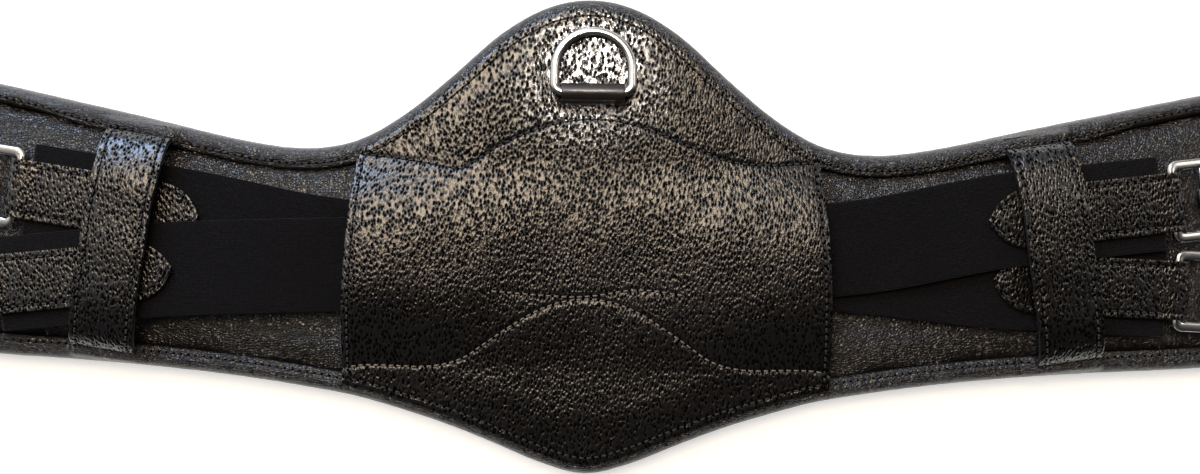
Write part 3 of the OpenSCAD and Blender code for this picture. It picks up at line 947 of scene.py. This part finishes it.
class GIRTH_OT_keepers(bpy.types.Operator):
    """Two keepers that hold the straps down, each of printed cowhide on a soft lining"""

    bl_idname = "girth.keepers"
    bl_label = "Keepers"

    def execute(self, context):
        t = np.linspace(-1, 1, 61)[None, :]
        crease = 0.3 * bell(np.abs(t) * KEEPER_WIDTH / 2 - KEEPER_ROW, 0.6)
        for side, name in ((-1, "keeper_left"), (1, "keeper_right")):
            outer = keeper_surface(side, KEEPER_LINING + KEEPER_LEATHER / 2, t, crease)
            inner = keeper_surface(side, KEEPER_LINING / 2, t)
            for points, piece, main, thick, node in (
                    (outer, name + "_leather", "pebbled", KEEPER_LEATHER - 0.1, name),
                    (inner, name + "_lining_leather", "pad", KEEPER_LINING - 0.1, name + "_lining")):
                faces = grid_quads(*points.shape[:2])
                made = make_object(piece, points.reshape(-1, 3), faces.tolist(),
                                   [material(main), material("edge")], ROOT)
                outward(made)
                add_thickness(made, thick, rim_slot=1, bevel=0.3)
                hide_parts(node)
        return {"FINISHED"}


# ---------------------------------------------------------------- strap ends

BILLET_LENGTH = 79.0
BILLET_WIDTH = 25.0
BILLET_LEATHER = 2.0
POINT_LENGTH = 17.0
ELASTIC_END = 5.3
ELASTIC_THICK = 1.6
BAR_RADIUS = 2.1
LEAF_Z = ELASTIC_THICK / 2 + 0.1 + BILLET_LEATHER / 2


def strap_frame(end):
    """Origin on the buckle's bar, and rows x out of the girth, y across and z up, of a strap end."""
    swing = JOINTS["swing_" + end]
    x = np.array(JOINTS["stretch_" + end]["axis"])
    y = -np.array(swing["axis"])
    return np.array(swing["pos_m"]) / MM, np.stack([x, y, np.cross(x, y)])


def buckle_frame(end):
    """The same for the buckle, whose x points from its bar to its roller."""
    origin, axes = strap_frame(end)
    x = unit(np.array(JOINTS["roller_" + end]["pos_m"]) / MM - origin)
    return origin, np.stack([x, axes[1], np.cross(x, axes[1])])


def placed(points, origin_axes):
    """Local points put on a frame's origin and axes."""
    origin, axes = origin_axes
    return np.asarray(points) @ axes + origin


def bar_distance(end, bar):
    """Distance from the strap bar to the tongue bar or the roller bar."""
    origin = np.array(JOINTS["swing_" + end]["pos_m"])
    return np.linalg.norm(np.array(JOINTS[bar + end]["pos_m"]) - origin) / MM


def billet_half_width(x):
    """Half width at x: full, and an arc on each side from the point."""
    half = BILLET_WIDTH / 2
    into = np.clip(x + BILLET_LENGTH, 0, POINT_LENGTH)
    radius = (POINT_LENGTH ** 2 + half ** 2) / (2 * half)
    return np.maximum(np.sqrt(radius ** 2 - (POINT_LENGTH - into) ** 2) - (radius - half), 0.35)


def leaf_height(x):
    """Middle of the upper leaf: flat on the elastic, rising to the fold round the bar."""
    return LEAF_Z + (BAR_RADIUS + BILLET_LEATHER / 2 - LEAF_Z) * smoothstep(x, -11, 0)


def billet_path():
    """(x, z) of the folded leather from the upper point, round the bar and back to the lower point."""
    fine = -BILLET_LENGTH + POINT_LENGTH * np.linspace(0, 1, 26)[:-1] ** 1.6
    rest = np.linspace(-BILLET_LENGTH + POINT_LENGTH, 0, 60)
    x = np.concatenate([fine, rest])
    turn = np.radians(np.linspace(90, -90, 19))[1:-1]
    radius = BAR_RADIUS + BILLET_LEATHER / 2
    fold = np.column_stack([radius * np.cos(turn), radius * np.sin(turn)])
    upper = np.column_stack([x, leaf_height(x)])
    return np.vstack([upper, fold, (upper * np.array([1, -1]))[::-1]])


class GIRTH_OT_strap_ends(bpy.types.Operator):
    """Four pointed leather ends, each folded round a buckle's bar with the elastic sewn between its leaves"""

    bl_idname = "girth.strap_ends"
    bl_label = "Strap ends"

    def execute(self, context):
        path = billet_path()
        t = np.linspace(-1, 1, 37)[None, :]
        x, z = path[:, :1], path[:, 1:]
        half = billet_half_width(x)
        inside = (1 - np.abs(t)) * half
        dent = 0.25 * bell(inside - 2.6, 0.6)
        crown = 0.22 * (1 - t ** 2) * smoothstep(-x, 0, 12)
        for index, end in enumerate(STRAP_ENDS):
            wave = 0.18 * ripple(x, 6 * t, [(41, 0), (27, 0.3)], 50 + index) * smoothstep(-x, 4, 20)
            height = z + np.sign(z) * (crown - dent) + np.maximum(wave, 0) * (z > 0)
            local = np.stack([x + 0 * t, half * t, height], axis=-1)
            points = placed(local, strap_frame(end))
            made = make_object("strap_end_" + end, points.reshape(-1, 3),
                               grid_quads(*points.shape[:2]).tolist(),
                               [material("pebbled"), material("edge")],
                               "strap_end_" + end)
            outward(made)
            add_thickness(made, BILLET_LEATHER - 0.1, rim_slot=1, bevel=0.3)
            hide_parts("billet_" + end)
        return {"FINISHED"}


# ---------------------------------------------------------------- elastics

OVER_MIDDLE = [(-102, -13), (0, -10), (105, -6)]
UNDER_MIDDLE = [(-102, -7.5), (0, -8.5), (105, -9.5)]
RAMP_START, RAMP_END = 70.0, 142.0
ELASTIC_WIDTH = 40.0


def elastic_half(end, other, knots, middle_z):
    """Path of one half of an elastic, from the girth's middle to its end between the leaves."""
    ends = []
    for name in (end, other):
        origin, axes = strap_frame(name)
        ends.append([origin - axes[0] * d for d in (ELASTIC_END, BILLET_LENGTH - 22, BILLET_LENGTH)])
    side = np.sign(ends[0][0][0])
    inner = [np.array([x, y]) for x, y in knots]
    if side > 0:
        inner = inner[::-1]
    plan = np.vstack([ends[0][0][:2], ends[0][1][:2], ends[0][2][:2], *inner, ends[1][2][:2], ends[1][1][:2]])
    dense = resample(cut_corners(plan, 4, False), 900)
    dense = dense[dense[:, 0] * side >= 0]
    dense = resample(dense, 220)[::-1]
    climb = smoothstep(np.abs(dense[:, 0]), RAMP_START, RAMP_END)
    z = middle_z + (ends[0][0][2] - middle_z) * climb
    return np.column_stack([dense, z])


class GIRTH_OT_elastics(bpy.types.Operator):
    """Two elastic straps that cross under the panel, each in two halves that stretch to its strap ends"""

    bl_idname = "girth.elastics"
    bl_label = "Elastic straps"

    def execute(self, context):
        low = box_mm("elastic_under")[0][2] + ELASTIC_THICK / 2
        over = box_mm("elastic_over")[0][2] + ELASTIC_THICK / 2
        straps = (("elastic_over", ("lower_left", "upper_right"), OVER_MIDDLE, over),
                  ("elastic_under", ("upper_left", "lower_right"), UNDER_MIDDLE, low))
        section = superellipse(48, ELASTIC_WIDTH / 2, ELASTIC_THICK / 2, 7)
        for node, pair, knots, middle_z in straps:
            for end, other in (pair, pair[::-1]):
                path = elastic_half(end, other, knots, middle_z)
                heading = tangents(path)
                side = unit(np.cross([0, 0, 1], heading))
                up = np.cross(heading, side)
                sections = np.broadcast_to(section, (len(path),) + section.shape)
                points = sweep(path, sections, side, up)
                flat, faces = swept_mesh(points, False)
                along = arc_lengths(path)
                around = np.append(section[:, 0], section[0, 0])
                uv = np.vstack([grid_uv(along, around), np.zeros((2 * len(section), 2))])
                made = make_object(f"{node}_to_{end}", flat, faces, [material("elastic")],
                                   None, uv)
                outward(made)
                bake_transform(made)
                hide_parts(node)
        return {"FINISHED"}


# ---------------------------------------------------------------- buckles

LEG_MIDDLE = 15.25
LEG_SECTION = (2.25, 1.8)
THIN_BAR = 1.75
ROLLER_RADIUS = 3.2
ROLLER_HALF = 12.7
HUB_RADIUS = 3.2
HUB_HALF = 4.5
CORNER = 2.6


def rounded_rectangle(low_x, high_x, half_y, radius, count):
    """A closed path with quarter circles at its corners, evenly sampled."""
    quarter = np.radians(np.linspace(0, 90, 9))
    corners = []
    for cx, cy, start in ((high_x - radius, half_y - radius, 0), (low_x + radius, half_y - radius, 90),
                          (low_x + radius, radius - half_y, 180), (high_x - radius, radius - half_y, 270)):
        angle = quarter + np.radians(start)
        corners.append(np.column_stack([cx + radius * np.cos(angle), cy + radius * np.sin(angle)]))
    return resample(np.vstack(corners), count, closed=True)


def buckle_loop(roller_x):
    """The frame as a closed loop: broad flat legs that thin to round bars at both ends."""
    plan = rounded_rectangle(-0.2, roller_x + 0.2, LEG_MIDDLE, CORNER, 220)
    path = np.column_stack([plan, np.zeros(len(plan))])
    heading = tangents(path, closed=True)
    up = np.broadcast_to([0.0, 0.0, 1.0], path.shape)
    side = np.cross(up, heading)
    leg = smoothstep(np.abs(plan[:, 1]), LEG_MIDDLE - 2.6, LEG_MIDDLE - 0.6)[:, None, None]
    broad = superellipse(24, *LEG_SECTION, 3.2)[None]
    strap_bar = superellipse(24, 2.0, 2.0)[None]
    roller_bar = superellipse(24, THIN_BAR, THIN_BAR)[None]
    out = (plan[:, 0] > roller_x / 2)[:, None, None]
    sections = broad * leg + np.where(out, roller_bar, strap_bar) * (1 - leg)
    return sweep(path, sections, side, up)


def turned_profile(profile, count, x=0.0):
    """A closed (radius, y) profile turned round the y axis through x."""
    angle = np.linspace(0, 2 * np.pi, count, endpoint=False)[:, None]
    radius, y = profile[:, 0][None], profile[:, 1][None]
    return np.stack([x + radius * np.cos(angle), y + 0 * angle, radius * np.sin(angle)], axis=-1)


def tube_profile(outer, inner, half, round_off=0.5):
    """Section of a tube with rounded rims."""
    cut = round_off
    corner = np.array([
        [inner, -half + 0.2], [inner + 0.2, -half], [outer - cut, -half],
        [outer - 0.3 * cut, -half + 0.3 * cut],
        [outer, -half + cut], [outer, half - cut], [outer - 0.3 * cut, half - 0.3 * cut], [outer - cut, half],
        [inner + 0.2, half], [inner, half - 0.2]])
    return corner


def joined(parts):
    """Several (points, faces) as one."""
    points, faces, offset = [], [], 0
    for some, quads in parts:
        points.append(np.asarray(some).reshape(-1, 3))
        faces += [[index + offset for index in face] for face in quads]
        offset += len(points[-1])
    return np.vstack(points), faces


def cross_bar(x, half, radius):
    """A round bar across the buckle at x."""
    path = np.column_stack([np.full(9, x), np.linspace(-half, half, 9), np.zeros(9)])
    side = np.broadcast_to([1.0, 0.0, 0.0], path.shape)
    up = np.broadcast_to([0.0, 0.0, 1.0], path.shape)
    sections = np.broadcast_to(superellipse(24, radius, radius), (9, 24, 2))
    return swept_mesh(sweep(path, sections, side, up), False)


def tongue_parts(reach):
    """Hub tube on the tongue bar, and a shank that rises to lie on the roller and dips at its tip."""
    hub = turned_profile(tube_profile(HUB_RADIUS, THIN_BAR + 0.1, HUB_HALF, 0.8), 40)
    hub_faces = grid_quads(*hub.shape[:2], wrap_rows=True, wrap_columns=True).tolist()
    knots = np.array([[0.6, 2.3], [4.5, 2.75], [9.5, 3.5], [reach - 4.5, 4.55],
                      [reach, 4.62], [reach + 2.6, 4.45], [reach + 3.5, 4.2]])
    line = resample(cut_corners(knots, 3, False), 60)
    path = np.column_stack([line[:, 0], np.zeros(60), line[:, 1]])
    heading = tangents(path)
    side = np.broadcast_to([0.0, 1.0, 0.0], path.shape)
    up = np.cross(heading, side)
    t = np.linspace(0, 1, 60)
    tip = np.sqrt(np.clip(1 - smoothstep(t, 0.93, 1.0) ** 2, 0.02, 1))
    half_y = (2.2 - 0.35 * smoothstep(t, 0.0, 0.6)) * tip
    half_z = (1.25 - 0.1 * t) * tip
    shape = superellipse(20, 1, 1, 2.6)
    sections = shape[None] * np.stack([half_y, half_z], axis=1)[:, None, :]
    shank, shank_faces = swept_mesh(sweep(path, sections, side, up), False)
    return joined([(hub, hub_faces), (shank, shank_faces)])


class GIRTH_OT_buckles(bpy.types.Operator):
    """Four double-bar buckles with a tongue on the middle bar and a roller on the outer one"""

    bl_idname = "girth.buckles"
    bl_label = "Buckles"

    def execute(self, context):
        for end in STRAP_ENDS:
            place = buckle_frame(end)
            tongue_x, roller_x = bar_distance(end, "tongue_"), bar_distance(end, "roller_")
            loop = buckle_loop(roller_x)
            loop_faces = grid_quads(*loop.shape[:2], wrap_rows=True, wrap_columns=True).tolist()
            frame_parts = joined([(loop, loop_faces), cross_bar(tongue_x, LEG_MIDDLE - 0.6, THIN_BAR)])
            tongue = tongue_parts(roller_x - tongue_x)
            wall = tube_profile(ROLLER_RADIUS, THIN_BAR + 0.1, ROLLER_HALF, 0.7)
            roller = turned_profile(wall, 48, roller_x)
            roller_faces = grid_quads(*roller.shape[:2], wrap_rows=True, wrap_columns=True).tolist()
            shift = np.array([tongue_x, 0, 0])
            for name, body, points, faces in (
                    ("buckle_frame_", "buckle_", *frame_parts),
                    ("buckle_tongue_", "tongue_", tongue[0] + shift, tongue[1]),
                    ("buckle_roller_", "roller_", roller.reshape(-1, 3), roller_faces)):
                made = make_object(name + end, placed(points, place), faces, [material("steel")],
                                   body + end)
                outward(made)
                node = {"buckle_frame_": "frame_", "buckle_tongue_": "tongue_", "buckle_roller_": "roller_"}
                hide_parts(node[name] + end)
        return {"FINISHED"}


# ---------------------------------------------------------------- ring and tab

RING_WIRE = 2.0
RING_BEND = 3.5
TAB_LEATHER = 1.6


def ring_path():
    """Closed path of the ring: straight bar, two small bends, two sides and a half circle."""
    half = (RING_HIGH[0] - RING_LOW[0]) / 2 - RING_WIRE
    reach = np.linalg.norm([RING_HIGH[1] - RING_WIRE - RING_BAR[1], RING_LOW[2] + RING_WIRE - RING_BAR[2]])
    bow = reach - half
    quarter = np.radians(np.linspace(-90, 0, 9))
    right = np.column_stack([half - RING_BEND + RING_BEND * np.cos(quarter),
                             RING_BEND + RING_BEND * np.sin(quarter)])
    top = np.radians(np.linspace(0, 180, 61))
    arch = np.column_stack([half * np.cos(top), bow + half * np.sin(top)])
    left = (right * np.array([-1, 1]))[::-1]
    return resample(np.vstack([right, arch, left]), 240, closed=True)


class GIRTH_OT_ring(bpy.types.Operator):
    """Ring of polished wire in a leather tab that comes up through a slit in the panel"""

    bl_idname = "girth.ring"
    bl_label = "Ring and tab"

    def execute(self, context):
        plan = ring_path()
        lean = np.arcsin((RING_LOW[2] + RING_WIRE - RING_BAR[2]) / np.linalg.norm(
            [RING_HIGH[1] - RING_WIRE - RING_BAR[1], RING_LOW[2] + RING_WIRE - RING_BAR[2]]))
        axes = np.array([[1, 0, 0], [0, np.cos(lean), np.sin(lean)], [0, -np.sin(lean), np.cos(lean)]])
        path = np.column_stack([plan, np.zeros(len(plan))]) @ axes + RING_CENTRE
        heading = tangents(path, closed=True)
        up = np.broadcast_to(axes[2], path.shape)
        side = np.cross(up, heading)
        sections = np.broadcast_to(superellipse(24, RING_WIRE, RING_WIRE), (len(path), 24, 2))
        points = sweep(path, sections, side, up)
        faces = grid_quads(*points.shape[:2], wrap_rows=True, wrap_columns=True).tolist()
        made = make_object("ring_wire", points.reshape(-1, 3), faces, [material("steel")], "ring")
        outward(made)
        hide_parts("ring")
        self.make_tab()
        return {"FINISHED"}

    def make_tab(self):
        """A strip that rises from the slit, goes round the ring's bar and down into the slit again."""
        half = (box_mm("ring_tab")[1][0] - box_mm("ring_tab")[0][0]) / 2 + 0.5
        radius = RING_WIRE + 0.1 + TAB_LEATHER / 2
        turn = np.radians(np.linspace(-75, 190, 40))
        roll = np.column_stack([RING_BAR[1] + radius * np.cos(turn), RING_BAR[2] + radius * np.sin(turn)])
        sink = EDGE_Z + 0.4
        front = [[RING_SLIT_Y + 1.2, sink], [RING_SLIT_Y + 1.6, sink + 2.0]]
        rear = [[RING_SLIT_Y - 1.0, sink + 1.6], [RING_SLIT_Y - 0.9, sink]]
        line = resample(cut_corners(np.vstack([front, roll, rear]), 2, False), 70)
        t = np.linspace(-1, 1, 33)[None, :]
        swell = 0.25 * (1 - t ** 2) * smoothstep(line[:, 1:], RING_BAR[2] - 1, RING_BAR[2] + 2)
        points = np.stack([RING_CENTRE[0] + half * t + 0 * line[:, :1], line[:, :1] + 0 * t,
                           line[:, 1:] + swell], axis=-1)
        made = make_object("ring_tab_leather", points.reshape(-1, 3), grid_quads(*points.shape[:2]).tolist(),
                           [material("smooth"), material("edge")], ROOT)
        outward(made)
        add_thickness(made, TAB_LEATHER - 0.1, rim_slot=1, bevel=0.3)
        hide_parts("ring_tab")


# ---------------------------------------------------------------- stitching

def stitch_shape():
    """One stitch, 1 mm long at scale 1: a bowed six-sided bead whose ends dip into the leather."""
    along = np.array([-0.5, -0.34, 0.0, 0.34, 0.5])
    radius = np.array([0.25, 0.85, 1.0, 0.85, 0.25])
    angle = np.linspace(0, 2 * np.pi, 6, endpoint=False)
    ring = np.stack([np.cos(angle), np.sin(angle)], axis=1)
    points = np.concatenate([np.column_stack([np.full(6, a), ring * r]) for a, r in zip(along, radius)])
    faces = grid_quads(5, 6, wrap_columns=True).tolist() + [list(range(6))[::-1], list(range(24, 30))]
    return points, faces


def stitch_rows(name, rows, key, body, share=0.74, thick=0.42):
    """Stitches along rows of (points, normals), one every pitch, in one mesh, and between them, in another,
    flat dark dimples: painted shadow for the inside of each needle hole."""
    sew(name, rows, key, body, share, thick, 0.5, 0.8, 0.9 * thick)
    # painted shadow: a flat near-black dimple in each needle hole
    sew(name.replace("stitching", "hole_shadows").replace("quilting", "quilting_hole_shadows"), rows, "hole", body,
        0.36, 0.6, 0.0, 0.2, 0.0)


def sew(name, rows, key, body, share, thick, phase, flat, rise):
    """One bead every pitch: share of the pitch long, 2 thick wide, flattened, bowed up by rise."""
    pitch = sizes().stitch_pitch / MM
    shape, faces = stitch_shape()
    centres, headings, normals = [], [], []
    for points, normal in rows:
        along = arc_lengths(points)
        count = max(int(along[-1] / pitch), 2)
        wanted = (np.arange(count) + phase) * along[-1] / count
        at = lambda values: np.stack([np.interp(wanted, along, values[:, k]) for k in range(3)], axis=1)
        centres.append(at(points))
        headings.append(unit(at(tangents(points))))
        normals.append(unit(at(normal)))
    centres, headings, normals = (np.vstack(some) for some in (centres, headings, normals))
    wobble = np.random.default_rng(len(centres)).normal(0, 0.035, (len(centres), 1))
    sides = unit(np.cross(normals, headings))
    headings = unit(headings + wobble * sides)
    length = pitch * share
    bow = rise * (1 - (2 * shape[:, 0]) ** 2) - 0.25 * rise
    local = np.stack([shape[:, 0] * length, shape[:, 1] * thick, shape[:, 2] * thick * flat + bow], axis=1)
    points = (centres[:, None] + local[None, :, :1] * headings[:, None]
              + local[None, :, 1:2] * sides[:, None] + local[None, :, 2:] * normals[:, None])
    offsets = (np.arange(len(centres)) * len(shape))[:, None]
    quads = [np.array(face) + offsets for face in faces]
    flat_faces = [row.tolist() for block in quads for row in block]
    made = make_object(name, points.reshape(-1, 3), flat_faces, [material(key)], body)
    outward(made)
    return made


def panel_row(x, y):
    """A row of stitches on the panel's face."""
    return np.column_stack([x, y, panel_height(x, y) + 0.15]), surface_normals(panel_height, x, y)


def panel_rows():
    """The panel's rows: both sewn edges, both free sides and the bell lines."""
    v = np.linspace(0.03, 0.97, 400)
    rows = []
    for side in (-1, 1):
        x, y = panel_point(side * np.ones(400), v)
        rows.append(panel_row(x - side * 2.6, y))
    for front in (True, False):
        line = edge_of_half(PANEL_MARGIN + 3.2, front)
        line = line[np.abs(line[:, 0]) < panel_half_width(line[:, 1]) - 2.6]
        rows.append(panel_row(line[:, 0], line[:, 1]))
    x = np.linspace(-97, 97, 500)
    front_bell = panel_row(x, line_height(FRONT_BELL, x))
    x = np.linspace(-101, 101, 500)
    rear_bell = panel_row(x, line_height(REAR_BELL, x))
    x = np.linspace(-41, 41, 300)
    chevron = panel_row(x, line_height(CHEVRON, x))
    return rows + [front_bell], [rear_bell, chevron]


def edge_stitches():
    """Rows along the turned edge, left out under the panel's margin."""
    share = edge_share()
    place = 7.3
    z = np.interp(place, EDGE_SECTION[9:, 0], EDGE_SECTION[9:, 1])
    points = edge_row(place, z, share)
    normal = np.broadcast_to([0.0, 0.0, 1.0], points.shape)
    hidden = np.abs(points[:, 0]) < 100
    runs = np.split(np.arange(len(points)), np.flatnonzero(np.diff(hidden)) + 1)
    runs = [run for run in runs if not hidden[run[0]]]
    if not hidden[0] and not hidden[-1]:
        runs = [np.concatenate([runs[-1], runs[0]])] + runs[1:-1]
    return [(points[run], normal[run]) for run in runs]


def billet_row(end):
    """A row 2.6 mm inside the upper leaf's edge, from the buckle round the point and back."""
    x = np.concatenate([np.linspace(-7, -BILLET_LENGTH + POINT_LENGTH, 80),
                        -BILLET_LENGTH + POINT_LENGTH * np.linspace(1, 0.3, 50)[1:]])
    y = billet_half_width(x) - 2.6
    y = np.maximum(y, 0)
    top = leaf_height(x) + BILLET_LEATHER / 2 + 0.05
    one = np.column_stack([x, y, top])
    both = np.vstack([one, (one * np.array([1, -1, 1]))[::-1]])
    line = resample(both, 200)
    _, axes = strap_frame(end)
    return placed(line, strap_frame(end)), np.broadcast_to(axes[2], line.shape)


def keeper_rows(side):
    """Rows along both edges of a keeper, in its creases."""
    across = np.append(keeper_axes(side)[1], 0.0)
    rows = []
    for t in (-1, 1):
        share = np.array([[t * KEEPER_ROW * 2 / KEEPER_WIDTH]])
        points = keeper_surface(side, KEEPER_LINING + KEEPER_LEATHER, share, 0.15)[:, 0]
        normal = unit(np.cross(across, tangents(points)))
        rows.append((points, normal * np.sign(normal[:, 2].mean())))
    return rows


class GIRTH_OT_stitching(bpy.types.Operator):
    """All the visible sewing, stitch by stitch"""

    bl_idname = "girth.stitching"
    bl_label = "Stitching"

    def execute(self, context):
        upper, lower = panel_rows()
        stitch_rows("panel_stitching", upper, "dark_thread", ROOT)
        stitch_rows("panel_quilting", lower, "worn_thread", ROOT)
        stitch_rows("edge_stitching", edge_stitches(), "dark_thread", ROOT)
        stitch_rows("keeper_stitching", keeper_rows(-1) + keeper_rows(1), "dark_thread", ROOT)
        for end in STRAP_ENDS:
            stitch_rows("strap_end_stitching_" + end, [billet_row(end)], "dark_thread", "strap_end_" + end)
        return {"FINISHED"}


# ---------------------------------------------------------------- camera, light and floor

VIEW_WIDTH = 522.0        # mm that the view spans at the outline's height
VIEW_HEIGHT = 500.0       # mm from the outline's height to the lens
VIEW_X = 5.2
VIEW_ROLL = np.radians(0.78)
LAMP_AIM = (0.001, 0.0735, 0.018)      # inside the ring, on the panel


class GIRTH_OT_stage(bpy.types.Operator):
    """Pale floor, soft lights and the camera straight above the girth"""

    bl_idname = "girth.stage"
    bl_label = "Stage"

    def execute(self, context):
        scene = context.scene
        lens = bpy.data.cameras.new("camera")
        lens.sensor_width = 36.0
        lens.lens = 36.0 * VIEW_HEIGHT / VIEW_WIDTH
        lens.clip_start = 0.01
        camera = bpy.data.objects.new("camera", lens)
        camera.location = (VIEW_X * MM, 0, (VIEW_HEIGHT + 8) * MM)
        camera.rotation_euler = (0, 0, VIEW_ROLL)
        scene.collection.objects.link(camera)
        scene.camera = camera
        self.make_floor(scene)
        self.make_lights(scene)
        return {"FINISHED"}

    def make_floor(self, scene):
        mesh = bpy.data.meshes.new("floor")
        corners = [(x, y, -0.0004) for x, y in ((-4, -4), (4, -4), (4, 4), (-4, 4))]
        mesh.from_pydata(corners, [], [(0, 1, 2, 3)])
        floor = bpy.data.objects.new("floor", mesh)
        material_made, tree, output = new_material("floor_matt_white")
        place = add_node(tree, "ShaderNodeTexCoord").outputs["Object"]
        cloud = add_node(tree, "ShaderNodeTexNoise", {"Vector": place, "Scale": 3.0})
        colour = blend_colours(tree, cloud.outputs["Fac"], linear("#F4F3F0"), linear("#FAFAF8"))
        finish_material(tree, output, colour, 0.9, None,
                        **{"Emission Color": (1.0, 1.0, 1.0, 1.0), "Emission Strength": 0.55})
        mesh.materials.append(material_made)
        scene.collection.objects.link(floor)

    def make_lights(self, scene):
        for name, spot, size, power, colour in (
                ("window", (-0.6, 1.0, 0.75), (0.8, 0.6), 14.0, (0.50, 0.68, 1.0)),
                ("window_right", (0.95, 0.35, 0.80), (0.4, 0.4), 1.2, (1.0, 0.93, 0.84)),
                ("ceiling", (-0.21, 0.51, 1.45), (0.88, 0.60), 13.5, (1.0, 0.80, 0.58)),
                ("lamp", (-0.012, 0.2955, 1.5), None, 120.0, (1.0, 0.97, 0.93))):
            lamp = bpy.data.lights.new(name, "AREA" if size else "SPOT")
            lamp.energy = power
            lamp.color = colour
            aim, turn = Vector((0, 0, 0)), np.radians(14) if name == "ceiling" else 0.0
            if size:
                lamp.shape = "RECTANGLE"
                lamp.size, lamp.size_y = size
            else:
                lamp.spot_size = np.radians(2.1)
                lamp.spot_blend = 0.7
                lamp.shadow_soft_size = 0.02
                aim = Vector(LAMP_AIM)
            made = bpy.data.objects.new(name, lamp)
            made.location = spot
            facing = (aim - Vector(spot)).to_track_quat("-Z", "Y")
            made.rotation_euler = (facing @ Quaternion((0, 0, 1), turn)).to_euler()
            scene.collection.objects.link(made)
        scene.world = self.make_world()
        scene.view_settings.view_transform = "Standard"

    def make_world(self):
        """A room: dark straight above, brighter to the walls, dim on the rear side and to the right."""
        world = bpy.data.worlds.new("studio")
        world.use_nodes = True
        tree = world.node_tree
        tree.nodes.clear()
        place = add_node(tree, "ShaderNodeNewGeometry").outputs["Position"]
        parts = add_node(tree, "ShaderNodeSeparateXYZ", {"Vector": place})
        walls = spread(tree, parts.outputs["Z"], 0.96, 0.82, 0.01, 0.7)
        rear = spread(tree, parts.outputs["Y"], -0.3, 0.1, 0.08, 1.0)
        left = spread(tree, parts.outputs["X"], 0.6, -0.6, 0.35, 1.5)
        around = add_node(tree, "ShaderNodeMath", {0: walls, 1: rear}, operation="MULTIPLY")
        strength = add_node(tree, "ShaderNodeMath", {0: around.outputs[0], 1: left}, operation="MULTIPLY")
        glow = add_node(tree, "ShaderNodeBackground", {"Color": (0.93, 0.96, 1.0, 1.0),
                                                       "Strength": strength.outputs[0]})
        output = add_node(tree, "ShaderNodeOutputWorld")
        tree.links.new(glow.outputs[0], output.inputs["Surface"])
        return world


# ---------------------------------------------------------------- add-on

class GIRTH_PT_panel(bpy.types.Panel):
    """Sizes, colours and one button for each group of pieces"""

    bl_label = "Saddle girth"
    bl_idname = "GIRTH_PT_panel"
    bl_space_type = "VIEW_3D"
    bl_region_type = "UI"
    bl_category = "Girth"

    def draw(self, context):
        for group in (context.scene.girth_sizes, context.scene.girth_colours):
            box = self.layout.box()
            for name in group.bl_rna.properties.keys():
                if name not in ("rna_type", "name"):
                    box.prop(group, name)
        for operator in OPERATORS:
            self.layout.operator(operator.bl_idname)


OPERATORS = (GIRTH_OT_stage, GIRTH_OT_lining, GIRTH_OT_padded_body, GIRTH_OT_belly_panel, GIRTH_OT_keepers,
             GIRTH_OT_strap_ends, GIRTH_OT_elastics, GIRTH_OT_buckles, GIRTH_OT_ring, GIRTH_OT_stitching)
CLASSES = (GirthSizes, GirthColours, *OPERATORS, GIRTH_PT_panel)


def register():
    for some in CLASSES:
        bpy.utils.register_class(some)
    bpy.types.Scene.girth_sizes = bpy.props.PointerProperty(type=GirthSizes)
    bpy.types.Scene.girth_colours = bpy.props.PointerProperty(type=GirthColours)


def unregister():
    del bpy.types.Scene.girth_sizes
    del bpy.types.Scene.girth_colours
    for some in reversed(CLASSES):
        bpy.utils.unregister_class(some)


def main():
    register()
    bpy.ops.girth.stage()
    bpy.ops.girth.lining()
    bpy.ops.girth.padded_body()
    bpy.ops.girth.belly_panel()
    bpy.ops.girth.keepers()
    bpy.ops.girth.strap_ends()
    bpy.ops.girth.elastics()
    bpy.ops.girth.buckles()
    bpy.ops.girth.ring()
    bpy.ops.girth.stitching()
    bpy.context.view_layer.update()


if __name__ == "__main__":
    main()
